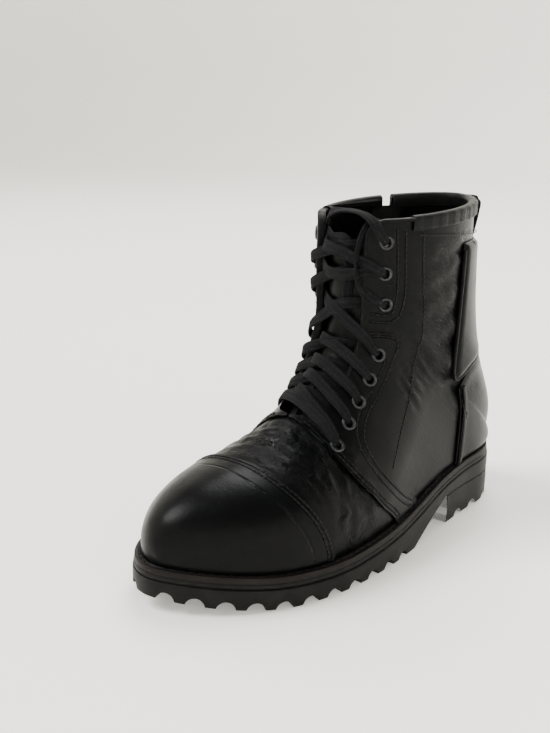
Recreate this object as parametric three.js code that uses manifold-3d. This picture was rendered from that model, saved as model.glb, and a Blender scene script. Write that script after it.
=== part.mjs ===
// Combat boot, left foot, standing empty on its sole.
// Millimetres. Toe towards -Y, heel towards +Y, lateral side towards +X, up is +Z.
// The origin lies on the floor under the middle of the boot.

import * as THREE from 'three';
import { mergeVertices } from 'three/addons/utils/BufferGeometryUtils.js';
import Module from 'manifold-3d';

const wasm = await Module();
wasm.setup();

// Sizes of the sole
const soleLength = 302;
const ballWidth = 114;
const heelWidth = 75;
const toeInward = 8.5; // the toe tip lies this far to the medial side
const toeSpring = 8.7;
const ballStack = 18.3; // floor to the welt's top at the ball
const heelStack = 36.2; // the same at the heel
const toeStack = 25.4; // the same at the toe tip, spring included
const weltThickness = 3.6;
const midsoleThickness = 3;
const insoleThickness = 3;
const heelBlockHeight = 19;
const breastPlace = 61; // the heel's front face, behind the middle of the sole
const treadDepth = 4.5;
const lugNotchWidth = 11;
const lugNotchReach = 17;
const treadGroove = 4;

// Sizes of the upper
const weltReachToe = 7; // how far the welt stands out in front of the upper
const weltReachSide = 6.5;
const weltReachHeel = 5;
const shaftHeight = 206; // floor to the collar at the back
const wall = 2.4;
const overlayThickness = 1.5;
const counterThickness = 1.8;
const padThickness = 3.4; // the padded panel above the heel
const bindingThickness = 1.5;
const bindingDrop = 6.5;
const tongueThickness = 2.4;
const tongueHalfWidth = 28;
const tongueDrop = 12; // below the collar
const throatCentre = -1.5;
const throatHalfWidth = 18;
const gap = 0.3; // between neighbours that touch

// Sizes of the fittings
const eyeletOuter = 9;
const eyeletHole = 4.6;
const eyeletStand = 1.1;
const eyeletInset = 8.5; // from the throat's edge to an eyelet's centre
const laceWidth = 7;
const laceThickness = 1.4;
const loopWidth = 15;
const loopThickness = 2;
const loopStandOff = 15;
const loopTop = 203;
const loopBottom = 166;
const zipSlotWidth = 8;
const zipTapeWidth = 24;
const zipTapeThickness = 1;
const zipTeethWidth = 5;
const zipTop = 199;
const zipBottom = 92;

const sliderWidth = 7;
const sliderLength = 11;
const sliderThickness = 2;
const sliderPlace = 187; // height of the slider's middle
const bridgeWidth = 1.8;
const bridgeLength = 7.4;
const bridgeRoom = 2.3; // under the bridge, for the pull tab's pin
const bridgeBar = 1.1;
const pullTabLength = 22;
const pullTabWidth = 5.4;
const pullTabThickness = 1.2;
const pullTabHole = 2.4;
const pinDrop = 1.5; // the pin rests this far below the slider's middle

// Sections at which the curved walls are faceted, and columns to a side
const stations = [
  0, 0.5, 1, 1.7, 2.5, 3.3, 4.2, 5, 6, 7, 8, 8.7, 9.3, 10, 10.7, 11.4, 12.2, 13, 14, 15, 16, 17, 18.4, 20,
];
const halfPoints = 6;

const ballHalf = ballWidth / 2;
const heelHalf = heelWidth / 2;

// Sole outline. along is the share of the length from the toe, heelward says how far the
// local reference half width has gone from the ball's to the heel's, and lateral and
// medial are shares of that reference.
const outlineRows = [
  { along: 0, heelward: 0, lateral: 0, medial: 0 },
  { along: 0.012, heelward: 0, lateral: 0.2, medial: 0.23 },
  { along: 0.04, heelward: 0, lateral: 0.4, medial: 0.44 },
  { along: 0.09, heelward: 0, lateral: 0.64, medial: 0.68 },
  { along: 0.17, heelward: 0, lateral: 0.86, medial: 0.89 },
  { along: 0.27, heelward: 0, lateral: 0.98, medial: 0.99 },
  { along: 0.36, heelward: 0, lateral: 1, medial: 0.97 },
  { along: 0.46, heelward: 0, lateral: 0.975, medial: 0.86 },
  { along: 0.57, heelward: 0.4, lateral: 1.03, medial: 0.84 },
  { along: 0.68, heelward: 0.85, lateral: 1.106, medial: 0.92 },
  { along: 0.79, heelward: 1, lateral: 1.073, medial: 0.98 },
  { along: 0.88, heelward: 1, lateral: 0.992, medial: 0.95 },
  { along: 0.95, heelward: 1, lateral: 0.71, medial: 0.71 },
  { along: 0.985, heelward: 1, lateral: 0.397, medial: 0.397 },
  { along: 1, heelward: 1, lateral: 0, medial: 0 },
];

// Height of the welt's top. heelward runs from the ball's stack to the heel's, and toeward
// from the ball's stack to the toe's.
const stackRows = [
  { along: 0, heelward: 0, toeward: 1 },
  { along: 0.08, heelward: 0, toeward: 0.55 },
  { along: 0.18, heelward: 0, toeward: 0.08 },
  { along: 0.33, heelward: 0, toeward: 0 },
  { along: 0.5, heelward: 0.25, toeward: 0 },
  { along: 0.62, heelward: 0.6, toeward: 0 },
  { along: 0.72, heelward: 0.86, toeward: 0 },
  { along: 0.85, heelward: 1, toeward: 0 },
  { along: 1, heelward: 1, toeward: 0 },
];

// Sections of the last, fanned from the toe tip to the collar. frontY and frontZ place the
// section's start on the ridge, lowY and lowZ its end on the welt or on the back seam.
// Y values are shares of the sole length from its middle, Z values shares of the shaft
// height; a lowZ of null follows the welt. lateral and medial are the widest half widths
// as shares of half the ball width, own is how far they replace the welt's own width,
// widest is where along the section they lie, crown and close are the roundness before
// and after that place.
const lastColumns = [
  'frontY', 'frontZ', 'lowY', 'lowZ', 'lateral', 'medial', 'own', 'widest', 'crown', 'close',
];
const lastRows = [
  [-0.4765, 0.126, null, null, 0, 0, 0, 0.8, 2.1, 2], // toe tip
  [-0.475, 0.172, -0.471, null, 0.3, 0.3, 0, 0.8, 1.9, 2],
  [-0.452, 0.235, -0.447, null, 0.6, 0.6, 0, 0.78, 1.9, 2],
  [-0.405, 0.28, -0.4, null, 0.8, 0.8, 0, 0.76, 1.9, 2],
  [-0.345, 0.309, -0.336, null, 0.9, 0.9, 0, 0.74, 1.95, 2],
  [-0.28, 0.332, -0.262, null, 0.92, 0.9, 0, 0.74, 2, 2], // ball
  [-0.219, 0.373, -0.182, null, 0.92, 0.88, 0, 0.74, 1.75, 2],
  [-0.159, 0.422, -0.098, null, 0.9, 0.84, 0, 0.76, 1.55, 2],
  [-0.113, 0.473, 0, null, 0.84, 0.77, 0.2, 0.74, 1.6, 2.2], // instep
  [-0.076, 0.525, 0.104, null, 0.77, 0.7, 0.6, 0.66, 1.8, 2.3],
  [-0.052, 0.569, 0.21, null, 0.71, 0.66, 1, 0.56, 1.95, 2.4],
  [-0.036, 0.612, 0.31, null, 0.67, 0.65, 1, 0.48, 2.1, 2.5], // waist
  [-0.029, 0.65, 0.397, null, 0.655, 0.645, 1, 0.44, 2.1, 2.6],
  [-0.026, 0.684, 0.454, null, 0.65, 0.65, 1, 0.42, 2.1, 2.6],
  [-0.025, 0.716, null, null, 0.65, 0.655, 1, 0.42, 2.1, 2.6], // heel seat
  [-0.025, 0.748, 0.4885, 0.262, 0.655, 0.66, 1, 0.42, 2.1, 2.6],
  [-0.025, 0.782, 0.466, 0.374, 0.66, 0.665, 1, 0.43, 2.1, 2.2],
  [-0.025, 0.82, 0.425, 0.49, 0.67, 0.67, 1, 0.45, 2.1, 1.95], // ankle
  [-0.024, 0.863, 0.402, 0.63, 0.68, 0.68, 1, 0.47, 2.1, 1.85],
  [-0.022, 0.91, 0.392, 0.79, 0.69, 0.69, 1, 0.48, 2.1, 1.8],
  [-0.018, 0.965, 0.386, 1, 0.7, 0.7, 1, 0.48, 2.1, 1.8], // collar
  [-0.013, 1.04, 0.384, 1.09, 0.705, 0.705, 1, 0.48, 2.1, 1.8],
].map((row) => Object.fromEntries(row.map((value, i) => [lastColumns[i], value])));
const heelBackRow = 14; // the section that ends at the back of the heel seat
const collarRow = 20;

// A smooth curve through a column of a table, read at any place
function through(places, values) {
  const last = places.length - 1;
  const slopes = values.map((value, i) => {
    const before = Math.max(i - 1, 0);
    const after = Math.min(i + 1, last);
    return (values[after] - values[before]) / (places[after] - places[before]);
  });
  return (place) => {
    let i = 0;
    while (i < last - 1 && place > places[i + 1]) i += 1;
    const span = places[i + 1] - places[i];
    const t = (place - places[i]) / span;
    const rise = t * t * (3 - 2 * t);
    const leave = t * (1 - t) * (1 - t) * span;
    const arrive = t * t * (t - 1) * span;
    return values[i] * (1 - rise) + values[i + 1] * rise + slopes[i] * leave + slopes[i + 1] * arrive;
  };
}

const clamp = (value, low, high) => Math.min(Math.max(value, low), high);
const roundPlace = (along) => Math.acos(1 - 2 * clamp(along, 0, 1));
const column = (rows, name) => rows.map((row) => row[name]);

// Half width of the sole at a share of its length, sampled so that both ends stay round
const outlinePlaces = outlineRows.map((row) => roundPlace(row.along));
const outlineReference = outlineRows.map((row) => ballHalf + (heelHalf - ballHalf) * row.heelward);
const outlineHalf = {
  lateral: through(outlinePlaces, outlineRows.map((row, i) => row.lateral * outlineReference[i])),
  medial: through(outlinePlaces, outlineRows.map((row, i) => row.medial * outlineReference[i])),
};
const sideName = (side) => (side > 0 ? 'lateral' : 'medial');

function soleHalf(along, side) {
  return Math.max(outlineHalf[sideName(side)](roundPlace(along)), 0);
}

function centreLine(y) {
  const along = clamp((y + soleLength / 2) / soleLength, 0, 1);
  const bend = clamp((0.35 - along) / 0.35, 0, 1);
  return -toeInward * bend ** 1.5;
}

const stackCurve = through(
  column(stackRows, 'along'),
  stackRows.map(({ heelward, toeward }) =>
    ballStack + (heelStack - ballStack) * heelward + (toeStack - ballStack) * toeward),
);
const weltTop = (y) => stackCurve(clamp((y + soleLength / 2) / soleLength, 0, 1));

// The upper's edge on the welt has the sole's outline, drawn in by the welt's reach
const featherToe = -soleLength / 2 + weltReachToe;
const featherHeel = soleLength / 2 - weltReachHeel;
function featherHalf(y, side) {
  const along = clamp((y - featherToe) / (featherHeel - featherToe), 0, 1);
  const half = soleHalf(along, side);
  return half * (1 - weltReachSide / ballHalf);
}

// Curves of the last's columns, read by section number
const rowPlaces = lastRows.map((row, i) => i);
const lastColumn = (name, scale) =>
  through(rowPlaces, column(lastRows, name).map((value) => value * scale));
const frontY = lastColumn('frontY', soleLength);
const frontZ = lastColumn('frontZ', shaftHeight);
const edgeEnds = { 0: featherToe, [heelBackRow]: featherHeel };
const lowY = through(rowPlaces, lastRows.map((row, i) => edgeEnds[i] ?? row.lowY * soleLength));
const lateralHalf = lastColumn('lateral', ballHalf);
const medialHalf = lastColumn('medial', ballHalf);
const ownShare = lastColumn('own', 1);
const widestPlace = lastColumn('widest', 1);
const crownPower = lastColumn('crown', 1);
const closePower = lastColumn('close', 1);
const backPlaces = rowPlaces.slice(heelBackRow);
const backHeights = backPlaces.map((i) =>
  (i === heelBackRow ? heelStack + gap : lastRows[i].lowZ * shaftHeight));
const backZ = through(backPlaces, backHeights);
const sideBulge = 1.03; // how far the side wall swells past its own edge on the welt

// A point of the upper's outer surface. section is the section's number, t runs from the
// ridge at 0 to the welt or back seam at 1, and side is 1 for lateral and -1 for medial.
function lastPoint(section, t, side) {
  const s = (1 - Math.cos(Math.PI * t)) / 2;
  const closed = section >= heelBackRow;
  const endY = closed ? lowY(section) : clamp(lowY(section), featherToe, featherHeel);
  const endZ = closed ? backZ(section) : weltTop(endY) + gap;
  const startY = section === 0 ? endY : frontY(section);
  const startZ = section === 0 ? endZ : frontZ(section);
  const y = startY + (endY - startY) * s;
  const z = startZ + (endZ - startZ) * s;
  const edge = closed ? 0 : featherHalf(endY, side);
  const table = side > 0 ? lateralHalf(section) : medialHalf(section);
  const own = clamp(ownShare(section), 0, 1);
  const half = edge * sideBulge * (1 - own) + table * own;
  const place = widestPlace(section);
  let x;
  if (s < place) {
    const power = crownPower(section);
    x = half * (1 - (1 - s / place) ** power) ** (1 / power);
  } else {
    const power = closePower(section);
    const fall = clamp((s - place) / (1 - place), 0, 1);
    x = edge + (half - edge) * (1 - fall ** power) ** (1 / power);
  }
  return new THREE.Vector3(centreLine(y) + side * x, y, z);
}

// The outward normal of that surface
function sideNormal(section, t, side) {
  const step = 0.02;
  const topRow = lastRows.length - 1;
  const a = lastPoint(Math.max(section - step, step), t, side);
  const b = lastPoint(Math.min(section + step, topRow), t, side);
  const c = lastPoint(section, Math.max(t - step, 0), side);
  const d = lastPoint(section, Math.min(t + step, 1), side);
  return b.sub(a).cross(d.sub(c)).multiplyScalar(-side).normalize();
}

function lastNormal(section, t, side) {
  if (section === 0) return new THREE.Vector3(0, -1, 0);
  const normal = sideNormal(section, t, side);
  if (t === 0 || (t === 1 && section >= heelBackRow)) {
    normal.add(sideNormal(section, t, -side));
    normal.x = 0;
  }
  return normal.normalize();
}

const liftedPoint = (section, t, side, lift) =>
  lastPoint(section, t, side).addScaledVector(lastNormal(section, t, side), lift);

// Helpers for closed meshes
function solidFrom(points, triangles) {
  const geometry = new THREE.BufferGeometry();
  const places = points.flatMap((p) => [p.x, p.y, p.z]);
  geometry.setAttribute('position', new THREE.Float32BufferAttribute(places, 3));
  geometry.setIndex(triangles.flat());
  return toManifold(geometry);
}

function toManifold(source) {
  const geometry = source.clone();
  geometry.deleteAttribute('normal');
  geometry.deleteAttribute('uv');
  const merged = mergeVertices(geometry, 1e-4);
  const index = merged.index.array;
  const kept = [];
  for (let i = 0; i < index.length; i += 3) {
    const [a, b, c] = [index[i], index[i + 1], index[i + 2]];
    if (a !== b && b !== c && c !== a) kept.push(a, b, c);
  }
  return new wasm.Manifold(new wasm.Mesh({
    numProp: 3,
    vertProperties: new Float32Array(merged.attributes.position.array),
    triVerts: new Uint32Array(kept),
  }));
}

const facetTolerance = 0.06; // facets this close to flat are merged
function toGeometry(solid) {
  const mesh = solid.simplify(facetTolerance).getMesh();
  const geometry = new THREE.BufferGeometry();
  geometry.setAttribute('position', new THREE.BufferAttribute(new Float32Array(mesh.vertProperties), 3));
  geometry.setIndex(new THREE.BufferAttribute(new Uint32Array(mesh.triVerts), 1));
  geometry.computeVertexNormals();
  return geometry;
}

const placed = (geometry, matrix) => toManifold(geometry.clone().applyMatrix4(matrix));
const joined = (solids) => solids.reduce((whole, solid) => whole.add(solid));

// A closed form of the boot, from the toe tip to a section, offset outwards by lift. drop
// adds a skirt below its edge on the welt, for a form that cuts right through.
function bootForm(lift, topSection, drop) {
  const sections = [...stations];
  if (topSection > collarRow) sections.push(topSection);
  const columns = [];
  for (let j = -halfPoints; j <= halfPoints; j += 1) {
    columns.push({ side: j <= 0 ? 1 : -1, t: Math.abs(j) / halfPoints });
  }
  if (drop > 0) {
    columns.unshift({ side: 1, t: 1, skirt: true });
    columns.push({ side: -1, t: 1, skirt: true });
  }
  const rowWidth = columns.length;
  const points = sections.flatMap((section) => columns.map(({ side, t, skirt }) => {
    const point = liftedPoint(section, t, side, lift);
    if (section > heelBackRow) return point;
    const edge = weltTop(point.y) + gap;
    point.z = t === 1 || section === 0 ? edge : Math.max(point.z, edge);
    if (skirt) point.z -= drop;
    return point;
  }));
  const triangles = [];
  for (let i = 0; i + 1 < sections.length; i += 1) {
    for (let j = 0; j + 1 < rowWidth; j += 1) {
      const a = i * rowWidth + j;
      const b = a + 1;
      const c = a + rowWidth;
      const d = c + 1;
      triangles.push([a, d, b], [a, c, d]);
    }
    if (sections[i] < heelBackRow) {
      const a = i * rowWidth;
      const b = a + rowWidth - 1;
      triangles.push([a, b + rowWidth, a + rowWidth], [a, b, b + rowWidth]);
    }
  }
  const middle = (rowWidth - 1) / 2;
  const ridge = (sections.length - 1) * rowWidth + middle;
  for (let j = 0; j < middle; j += 1) {
    triangles.push([ridge - j - 1, ridge + j, ridge - j], [ridge - j - 1, ridge + j + 1, ridge + j]);
  }
  return solidFrom(points, triangles);
}

// A ring between two forms, open above and below
const skirtDrop = 8;
const shell = (outerLift, innerLift, topSection) =>
  bootForm(outerLift, topSection, 0).subtract(bootForm(innerLift, topSection + 1, skirtDrop));

// A block with a side-view outline, between two places across the boot. The outline's rows
// hold y as a share of the sole length and z as a share of the shaft height.
function sideBlock(rows, lowX, highX) {
  const corners = rows.map((row) => new THREE.Vector2(row.y * soleLength, row.z * shaftHeight));
  const shape = new THREE.Shape(corners);
  const geometry = new THREE.ExtrudeGeometry(shape, { depth: highX - lowX, bevelEnabled: false });
  const turn = new THREE.Matrix4().makeBasis(
    new THREE.Vector3(0, 1, 0),
    new THREE.Vector3(0, 0, 1),
    new THREE.Vector3(1, 0, 0),
  );
  turn.setPosition(lowX, 0, 0);
  return placed(geometry, turn);
}
const boxBlock = (x, y, z) => toManifold(new THREE.BoxGeometry(x, y, z));
const farSide = ballWidth; // well outside the boot on either side
const onSide = (rows, side) => (side > 0 ? sideBlock(rows, 0, farSide) : sideBlock(rows, -farSide, 0));

// Finds the section and t of a place given in side view
function locate(y, z) {
  let low = 0.01;
  let high = lastRows.length - 1;
  const beyond = (section) => {
    const a = lastPoint(section, 0, 1);
    const b = lastPoint(section, 1, 1);
    return (b.y - a.y) * (z - a.z) - (b.z - a.z) * (y - a.y) > 0;
  };
  for (let i = 0; i < 40; i += 1) {
    const middle = (low + high) / 2;
    if (beyond(middle)) low = middle;
    else high = middle;
  }
  const a = lastPoint(low, 0, 1);
  const b = lastPoint(low, 1, 1);
  const span = (b.y - a.y) ** 2 + (b.z - a.z) ** 2;
  const s = clamp(((y - a.y) * (b.y - a.y) + (z - a.z) * (b.z - a.z)) / span, 0, 1);
  return { section: low, t: Math.acos(1 - 2 * s) / Math.PI };
}

// The place at a height where the front of the upper is a given distance from the
// throat's centre line
function besideThroat(spread, z, side) {
  let low = -soleLength / 4;
  let high = soleLength / 6;
  const ridge = (y) => {
    const place = locate(y, z);
    return lastPoint(place.section, place.t, side).x;
  };
  for (let i = 0; i < 40; i += 1) {
    const y = (low + high) / 2;
    if ((ridge(y) - throatCentre) * side < spread) low = y;
    else high = y;
  }
  return locate(high, z);
}

// Outlines of the panels in side view, as shares of the sole length and shaft height
const capRows = [
  { y: -0.6, z: 0.02 }, { y: -0.205, z: 0.02 }, { y: -0.212, z: 0.117 }, { y: -0.24, z: 0.223 },
  { y: -0.263, z: 0.291 }, { y: -0.277, z: 0.335 }, { y: -0.284, z: 0.45 }, { y: -0.6, z: 0.45 },
];
const lowerFacingRows = [
  { y: -0.172, z: 0.485 }, { y: -0.155, z: 0.4 }, { y: -0.145, z: 0.34 }, { y: -0.12, z: 0.268 },
  { y: -0.075, z: 0.19 }, { y: -0.02, z: 0.12 }, { y: 0.005, z: 0.02 }, { y: 0.085, z: 0.02 },
  { y: 0.076, z: 0.126 }, { y: 0.01, z: 0.194 }, { y: -0.044, z: 0.267 }, { y: -0.066, z: 0.345 },
  { y: -0.041, z: 0.417 }, { y: -0.006, z: 0.466 }, { y: 0.027, z: 0.53 }, { y: 0.053, z: 0.59 },
  { y: 0.055, z: 0.625 }, { y: 0.03, z: 0.644 }, { y: -0.02, z: 0.648 }, { y: -0.12, z: 0.648 },
];
const upperFacingRows = [
  { y: -0.1, z: 0.68 }, { y: 0, z: 0.672 }, { y: 0.03, z: 0.668 }, { y: 0.054, z: 0.684 },
  { y: 0.063, z: 0.728 }, { y: 0.063, z: 0.79 }, { y: 0.06, z: 0.874 }, { y: 0.056, z: 1.1 },
  { y: -0.1, z: 1.1 },
];
const counterTopRows = [
  { y: 0.2485, z: 0.425 }, { y: 0.262, z: 0.45 }, { y: 0.285, z: 0.481 }, { y: 0.33, z: 0.496 },
  { y: 0.38, z: 0.503 }, { y: 0.6, z: 0.503 },
];
const counterRows = [
  { y: 0.6, z: 0.02 }, { y: 0.248, z: 0.02 }, { y: 0.25, z: 0.17 }, { y: 0.254, z: 0.247 },
  { y: 0.2585, z: 0.31 }, { y: 0.258, z: 0.37 }, ...counterTopRows,
];
const panelLift = 1.3 / shaftHeight; // the seam between the counter and the back panel
const backPanelBottom = counterTopRows.slice(2).map((row) => ({ y: row.y, z: row.z + panelLift }));
const lateralPanelFront = [
  { y: 0.23, z: 0.885 }, { y: 0.23, z: 0.8 }, { y: 0.227, z: 0.706 }, { y: 0.223, z: 0.607 },
  { y: 0.2195, z: 0.528 }, { y: 0.2225, z: 0.475 }, { y: 0.232, z: 0.458 }, { y: 0.252, z: 0.466 },
];
const backPanelTop = { y: 0.6, z: 0.885 };

// The medial zip, a straight line in side view from its top to its bottom
const zipTopY = 82;
const zipBottomY = 70;
const zipLineY = (z) => zipBottomY + ((zipTopY - zipBottomY) * (z - zipBottom)) / (zipTop - zipBottom);
function alongZip(halfWidth, lowZ, highZ) {
  const corner = (offset, z) => ({ y: (zipLineY(z) + offset) / soleLength, z: z / shaftHeight });
  return [
    corner(-halfWidth, lowZ), corner(halfWidth, lowZ), corner(halfWidth, highZ), corner(-halfWidth, highZ),
  ];
}
const zipPanelFront = [backPanelTop.z, 0.7, 0.51].map((share) => ({
  y: (zipLineY(share * shaftHeight) + zipSlotWidth) / soleLength,
  z: share,
}));

// The throat, a round-ended slot cut square to the instep
const throatBaseY = -47;
const throatBaseZ = 0.428 * shaftHeight;
const throatTopY = -5;
function throatCutter() {
  const half = throatHalfWidth;
  const direction = new THREE.Vector3(0, throatTopY - throatBaseY, shaftHeight - throatBaseZ).normalize();
  const out = new THREE.Vector3(0, -direction.z, direction.y);
  const across = new THREE.Vector3().crossVectors(direction, out);
  const corner = half * 0.72;
  const length = soleLength / 2;
  const shape = new THREE.Shape();
  shape.moveTo(-half, corner);
  shape.absarc(-half + corner, corner, corner, Math.PI, 1.5 * Math.PI, false);
  shape.absarc(half - corner, corner, corner, -Math.PI / 2, 0, false);
  shape.lineTo(half, length);
  shape.lineTo(-half, length);
  const depth = soleLength / 3;
  const geometry = new THREE.ExtrudeGeometry(shape, { depth, bevelEnabled: false, curveSegments: 5 });
  const place = new THREE.Matrix4().makeBasis(across, direction, out);
  const base = new THREE.Vector3(throatCentre, throatBaseY, throatBaseZ);
  const start = base.addScaledVector(out, -depth * 0.4);
  place.setPosition(start);
  return placed(geometry, place);
}

// Eyelets, from the top down: their height as a share of the shaft height, and how far they
// flare from the throat's edge as a share of the throat's half width
const eyeletRows = [
  { height: 0.908, flare: 0 }, { height: 0.82, flare: 0 }, { height: 0.73, flare: 0 },
  { height: 0.583, flare: 0 }, { height: 0.517, flare: 0.02 }, { height: 0.46, flare: 0.05 },
  { height: 0.408, flare: 0.12 }, { height: 0.359, flare: 0.25 },
];
const eyeletPlaces = [1, -1].map((side) =>
  eyeletRows.map((row) => {
    const spread = throatHalfWidth * (1 + row.flare) + eyeletInset;
    const place = besideThroat(spread, row.height * shaftHeight, side);
    const centre = lastPoint(place.section, place.t, side);
    const normal = lastNormal(place.section, place.t, side);
    return { ...place, side, centre, normal };
  }),
);
const eyeletHoleRadius = eyeletHole / 2;
const barrelRadius = eyeletHoleRadius + 0.6;
const seatRadius = barrelRadius + gap;
const eyeletSides = 8;

function axisMatrix(origin, axis) {
  const turn = new THREE.Quaternion().setFromUnitVectors(new THREE.Vector3(0, 0, 1), axis);
  return new THREE.Matrix4().compose(origin, turn, new THREE.Vector3(1, 1, 1));
}
const upright = new THREE.Matrix4().makeRotationX(Math.PI / 2);

const eyeletCutDepth = 14;
const eyeletCutters = eyeletPlaces.map((places) =>
  joined(places.map(({ centre, normal }) => {
    const cylinder = new THREE.CylinderGeometry(seatRadius, seatRadius, eyeletCutDepth, eyeletSides);
    return placed(cylinder.applyMatrix4(upright), axisMatrix(centre, normal));
  })),
);

const eyeletSeat = gap + overlayThickness + gap + 0.25; // above the upper's surface
function eyelet({ centre, normal }) {
  const depth = wall + overlayThickness;
  const profile = [
    [eyeletHoleRadius, -depth],
    [barrelRadius, -depth],
    [barrelRadius, 0],
    [eyeletOuter / 2, 0],
    [barrelRadius, eyeletStand],
    [eyeletHoleRadius, -depth],
  ].map(([radius, height]) => new THREE.Vector2(radius, height));
  const ring = new THREE.LatheGeometry(profile, eyeletSides).applyMatrix4(upright);
  return placed(ring, axisMatrix(centre.clone().addScaledVector(normal, eyeletSeat), normal));
}

// Layers under the upper
const edgeHalf = (inset) => (y, side) => {
  const along = clamp((y + soleLength / 2 - inset) / (soleLength - 2 * inset), 0, 1);
  return Math.max(soleHalf(along, side) * (1 - inset / ballHalf), 0);
};
const drawnIn = (inset) => (y, side) => {
  const length = featherHeel - featherToe - 2 * inset;
  const along = clamp((y - featherToe - inset) / length, 0, 1);
  return Math.max(soleHalf(along, side) * (1 - (weltReachSide + inset) / ballHalf), 0);
};

// A layer between two heights that follow the boot's length, with round ends, or with a
// flat front where flatFront says so
function layer(half, startY, endY, topOf, bottomOf, steps, flatFront, stops = []) {
  const places = [...stops];
  for (let i = 0; i < steps; i += 1) {
    const angle = (i / steps) * Math.PI;
    const turn = flatFront ? Math.sin(angle / 2) : (1 - Math.cos(angle)) / 2;
    places.push(startY + (endY - startY) * turn);
  }
  places.push(endY);
  places.sort((a, b) => a - b);
  const last = places.length - 1;
  const points = places.flatMap((y, i) => {
    const ends = i === last || (i === 0 && !flatFront);
    const middle = centreLine(y);
    const lateral = ends ? 0 : half(y, 1);
    const medial = ends ? 0 : half(y, -1);
    return [
      new THREE.Vector3(middle + lateral, y, topOf(y)),
      new THREE.Vector3(middle - medial, y, topOf(y)),
      new THREE.Vector3(middle - medial, y, bottomOf(y)),
      new THREE.Vector3(middle + lateral, y, bottomOf(y)),
    ];
  });
  const triangles = [];
  for (let i = 0; i < last; i += 1) {
    for (let j = 0; j < 4; j += 1) {
      const a = 4 * i + j;
      const b = 4 * i + ((j + 1) % 4);
      triangles.push([a, b + 4, b], [a, a + 4, b + 4]);
    }
  }
  if (flatFront) triangles.push([0, 1, 2], [0, 2, 3]);
  return solidFrom(points, triangles);
}

const halfLength = soleLength / 2;
const midsoleTop = (y) => weltTop(y) - weltThickness - gap;
const outsoleTop = (y) => midsoleTop(y) - midsoleThickness - gap;
const springStart = -0.3 * soleLength;
const waistStart = 15;
const waistEnd = breastPlace - 1;
function soleBottom(y) {
  if (y < springStart) return toeSpring * ((springStart - y) / (springStart + halfLength)) ** 1.6;
  const rise = clamp((y - waistStart) / (waistEnd - waistStart), 0, 1);
  return (heelBlockHeight + gap) * rise ** 0.85;
}

const notchSides = 8;
// Arched notches along the sole's lower edge, at even steps of arc from a start
function edgeNotches(half, startY, endY, firstArc, pitch, side) {
  const notches = [];
  let arc = 0;
  let next = firstArc;
  let last = new THREE.Vector3(centreLine(startY) + side * half(startY, side), startY, 0);
  for (let y = startY; y < endY; y += 0.5) {
    const here = new THREE.Vector3(centreLine(y) + side * half(y, side), y, 0);
    const step = here.clone().sub(last);
    arc += step.length();
    if (arc >= next && step.length() > 0) {
      const inward = new THREE.Vector3(-step.y, step.x, 0).normalize().multiplyScalar(side);
      const radius = lugNotchWidth / 2;
      const bar = new THREE.CylinderGeometry(radius, radius, 2 * lugNotchReach, notchSides);
      const cylinder = bar.applyMatrix4(upright);
      here.z = soleBottom(Math.min(y, waistStart)) * (y < waistStart ? 1 : 0) + treadDepth - radius;
      notches.push(placed(cylinder, axisMatrix(here, inward)));
      next += pitch;
    }
    last = here;
  }
  return notches;
}

function crossGrooves(half, startY, endY, pitch, reach) {
  const grooves = [];
  for (let y = startY; y <= endY; y += pitch) {
    const lateral = half(y, 1) - reach;
    const medial = half(y, -1) - reach;
    const block = boxBlock(lateral + medial, treadGroove, 2 * treadDepth);
    const low = y < waistStart ? soleBottom(y) : 0;
    grooves.push(block.translate([centreLine(y) + (lateral - medial) / 2, y, low]));
  }
  return grooves;
}

const notchPitch = 16.5;
const firstNotch = 10; // along the edge from the toe
const firstGroove = 30; // behind the toe
const grooveReach = 5; // the cross grooves end this far inside the notches
const wholeEdge = edgeHalf(0);
function outsole() {
  const stops = [waistStart, waistEnd];
  const body = layer(wholeEdge, -halfLength, halfLength, outsoleTop, soleBottom, 36, false, stops);
  const cuts = [
    ...edgeNotches(wholeEdge, -halfLength, waistStart - lugNotchWidth / 2, firstNotch, notchPitch, 1),
    ...edgeNotches(wholeEdge, -halfLength, waistStart - lugNotchWidth / 2, firstNotch, notchPitch, -1),
    ...crossGrooves(wholeEdge, -halfLength + firstGroove, waistStart - lugNotchWidth, notchPitch,
      lugNotchReach + grooveReach),
  ];
  return body.subtract(joined(cuts));
}

const heelPitch = 21;
const firstHeelNotch = 17; // behind the breast, along the edge
const firstHeelGroove = 16;
function heel() {
  const flat = () => heelBlockHeight;
  const body = layer(wholeEdge, breastPlace, halfLength, flat, () => 0, 16, true);
  const cuts = [
    ...edgeNotches(wholeEdge, breastPlace, halfLength, firstHeelNotch, heelPitch, 1),
    ...edgeNotches(wholeEdge, breastPlace, halfLength, firstHeelNotch, heelPitch, -1),
    ...crossGrooves(wholeEdge, breastPlace + firstHeelGroove, halfLength - heelPitch, heelPitch,
      lugNotchReach + grooveReach),
  ];
  return body.subtract(joined(cuts));
}

const soleStations = 26;
const midsoleInset = 0.6;
function midsole() {
  const edge = edgeHalf(midsoleInset);
  const end = halfLength - midsoleInset;
  const bottom = (y) => midsoleTop(y) - midsoleThickness;
  return layer(edge, -end, end, midsoleTop, bottom, soleStations, false);
}

const insoleInset = wall + 1;
const weltInset = 1;
function welt() {
  const end = halfLength - weltInset;
  const bottom = (y) => weltTop(y) - weltThickness;
  const whole = layer(edgeHalf(weltInset), -end, end, weltTop, bottom, soleStations, false);
  const inset = insoleInset - gap;
  const above = (y) => weltTop(y) + weltThickness;
  const below = (y) => weltTop(y) - 2 * weltThickness;
  const toe = featherToe + inset;
  const heel = featherHeel - inset;
  return whole.subtract(layer(drawnIn(inset), toe, heel, above, below, soleStations, false));
}

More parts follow.
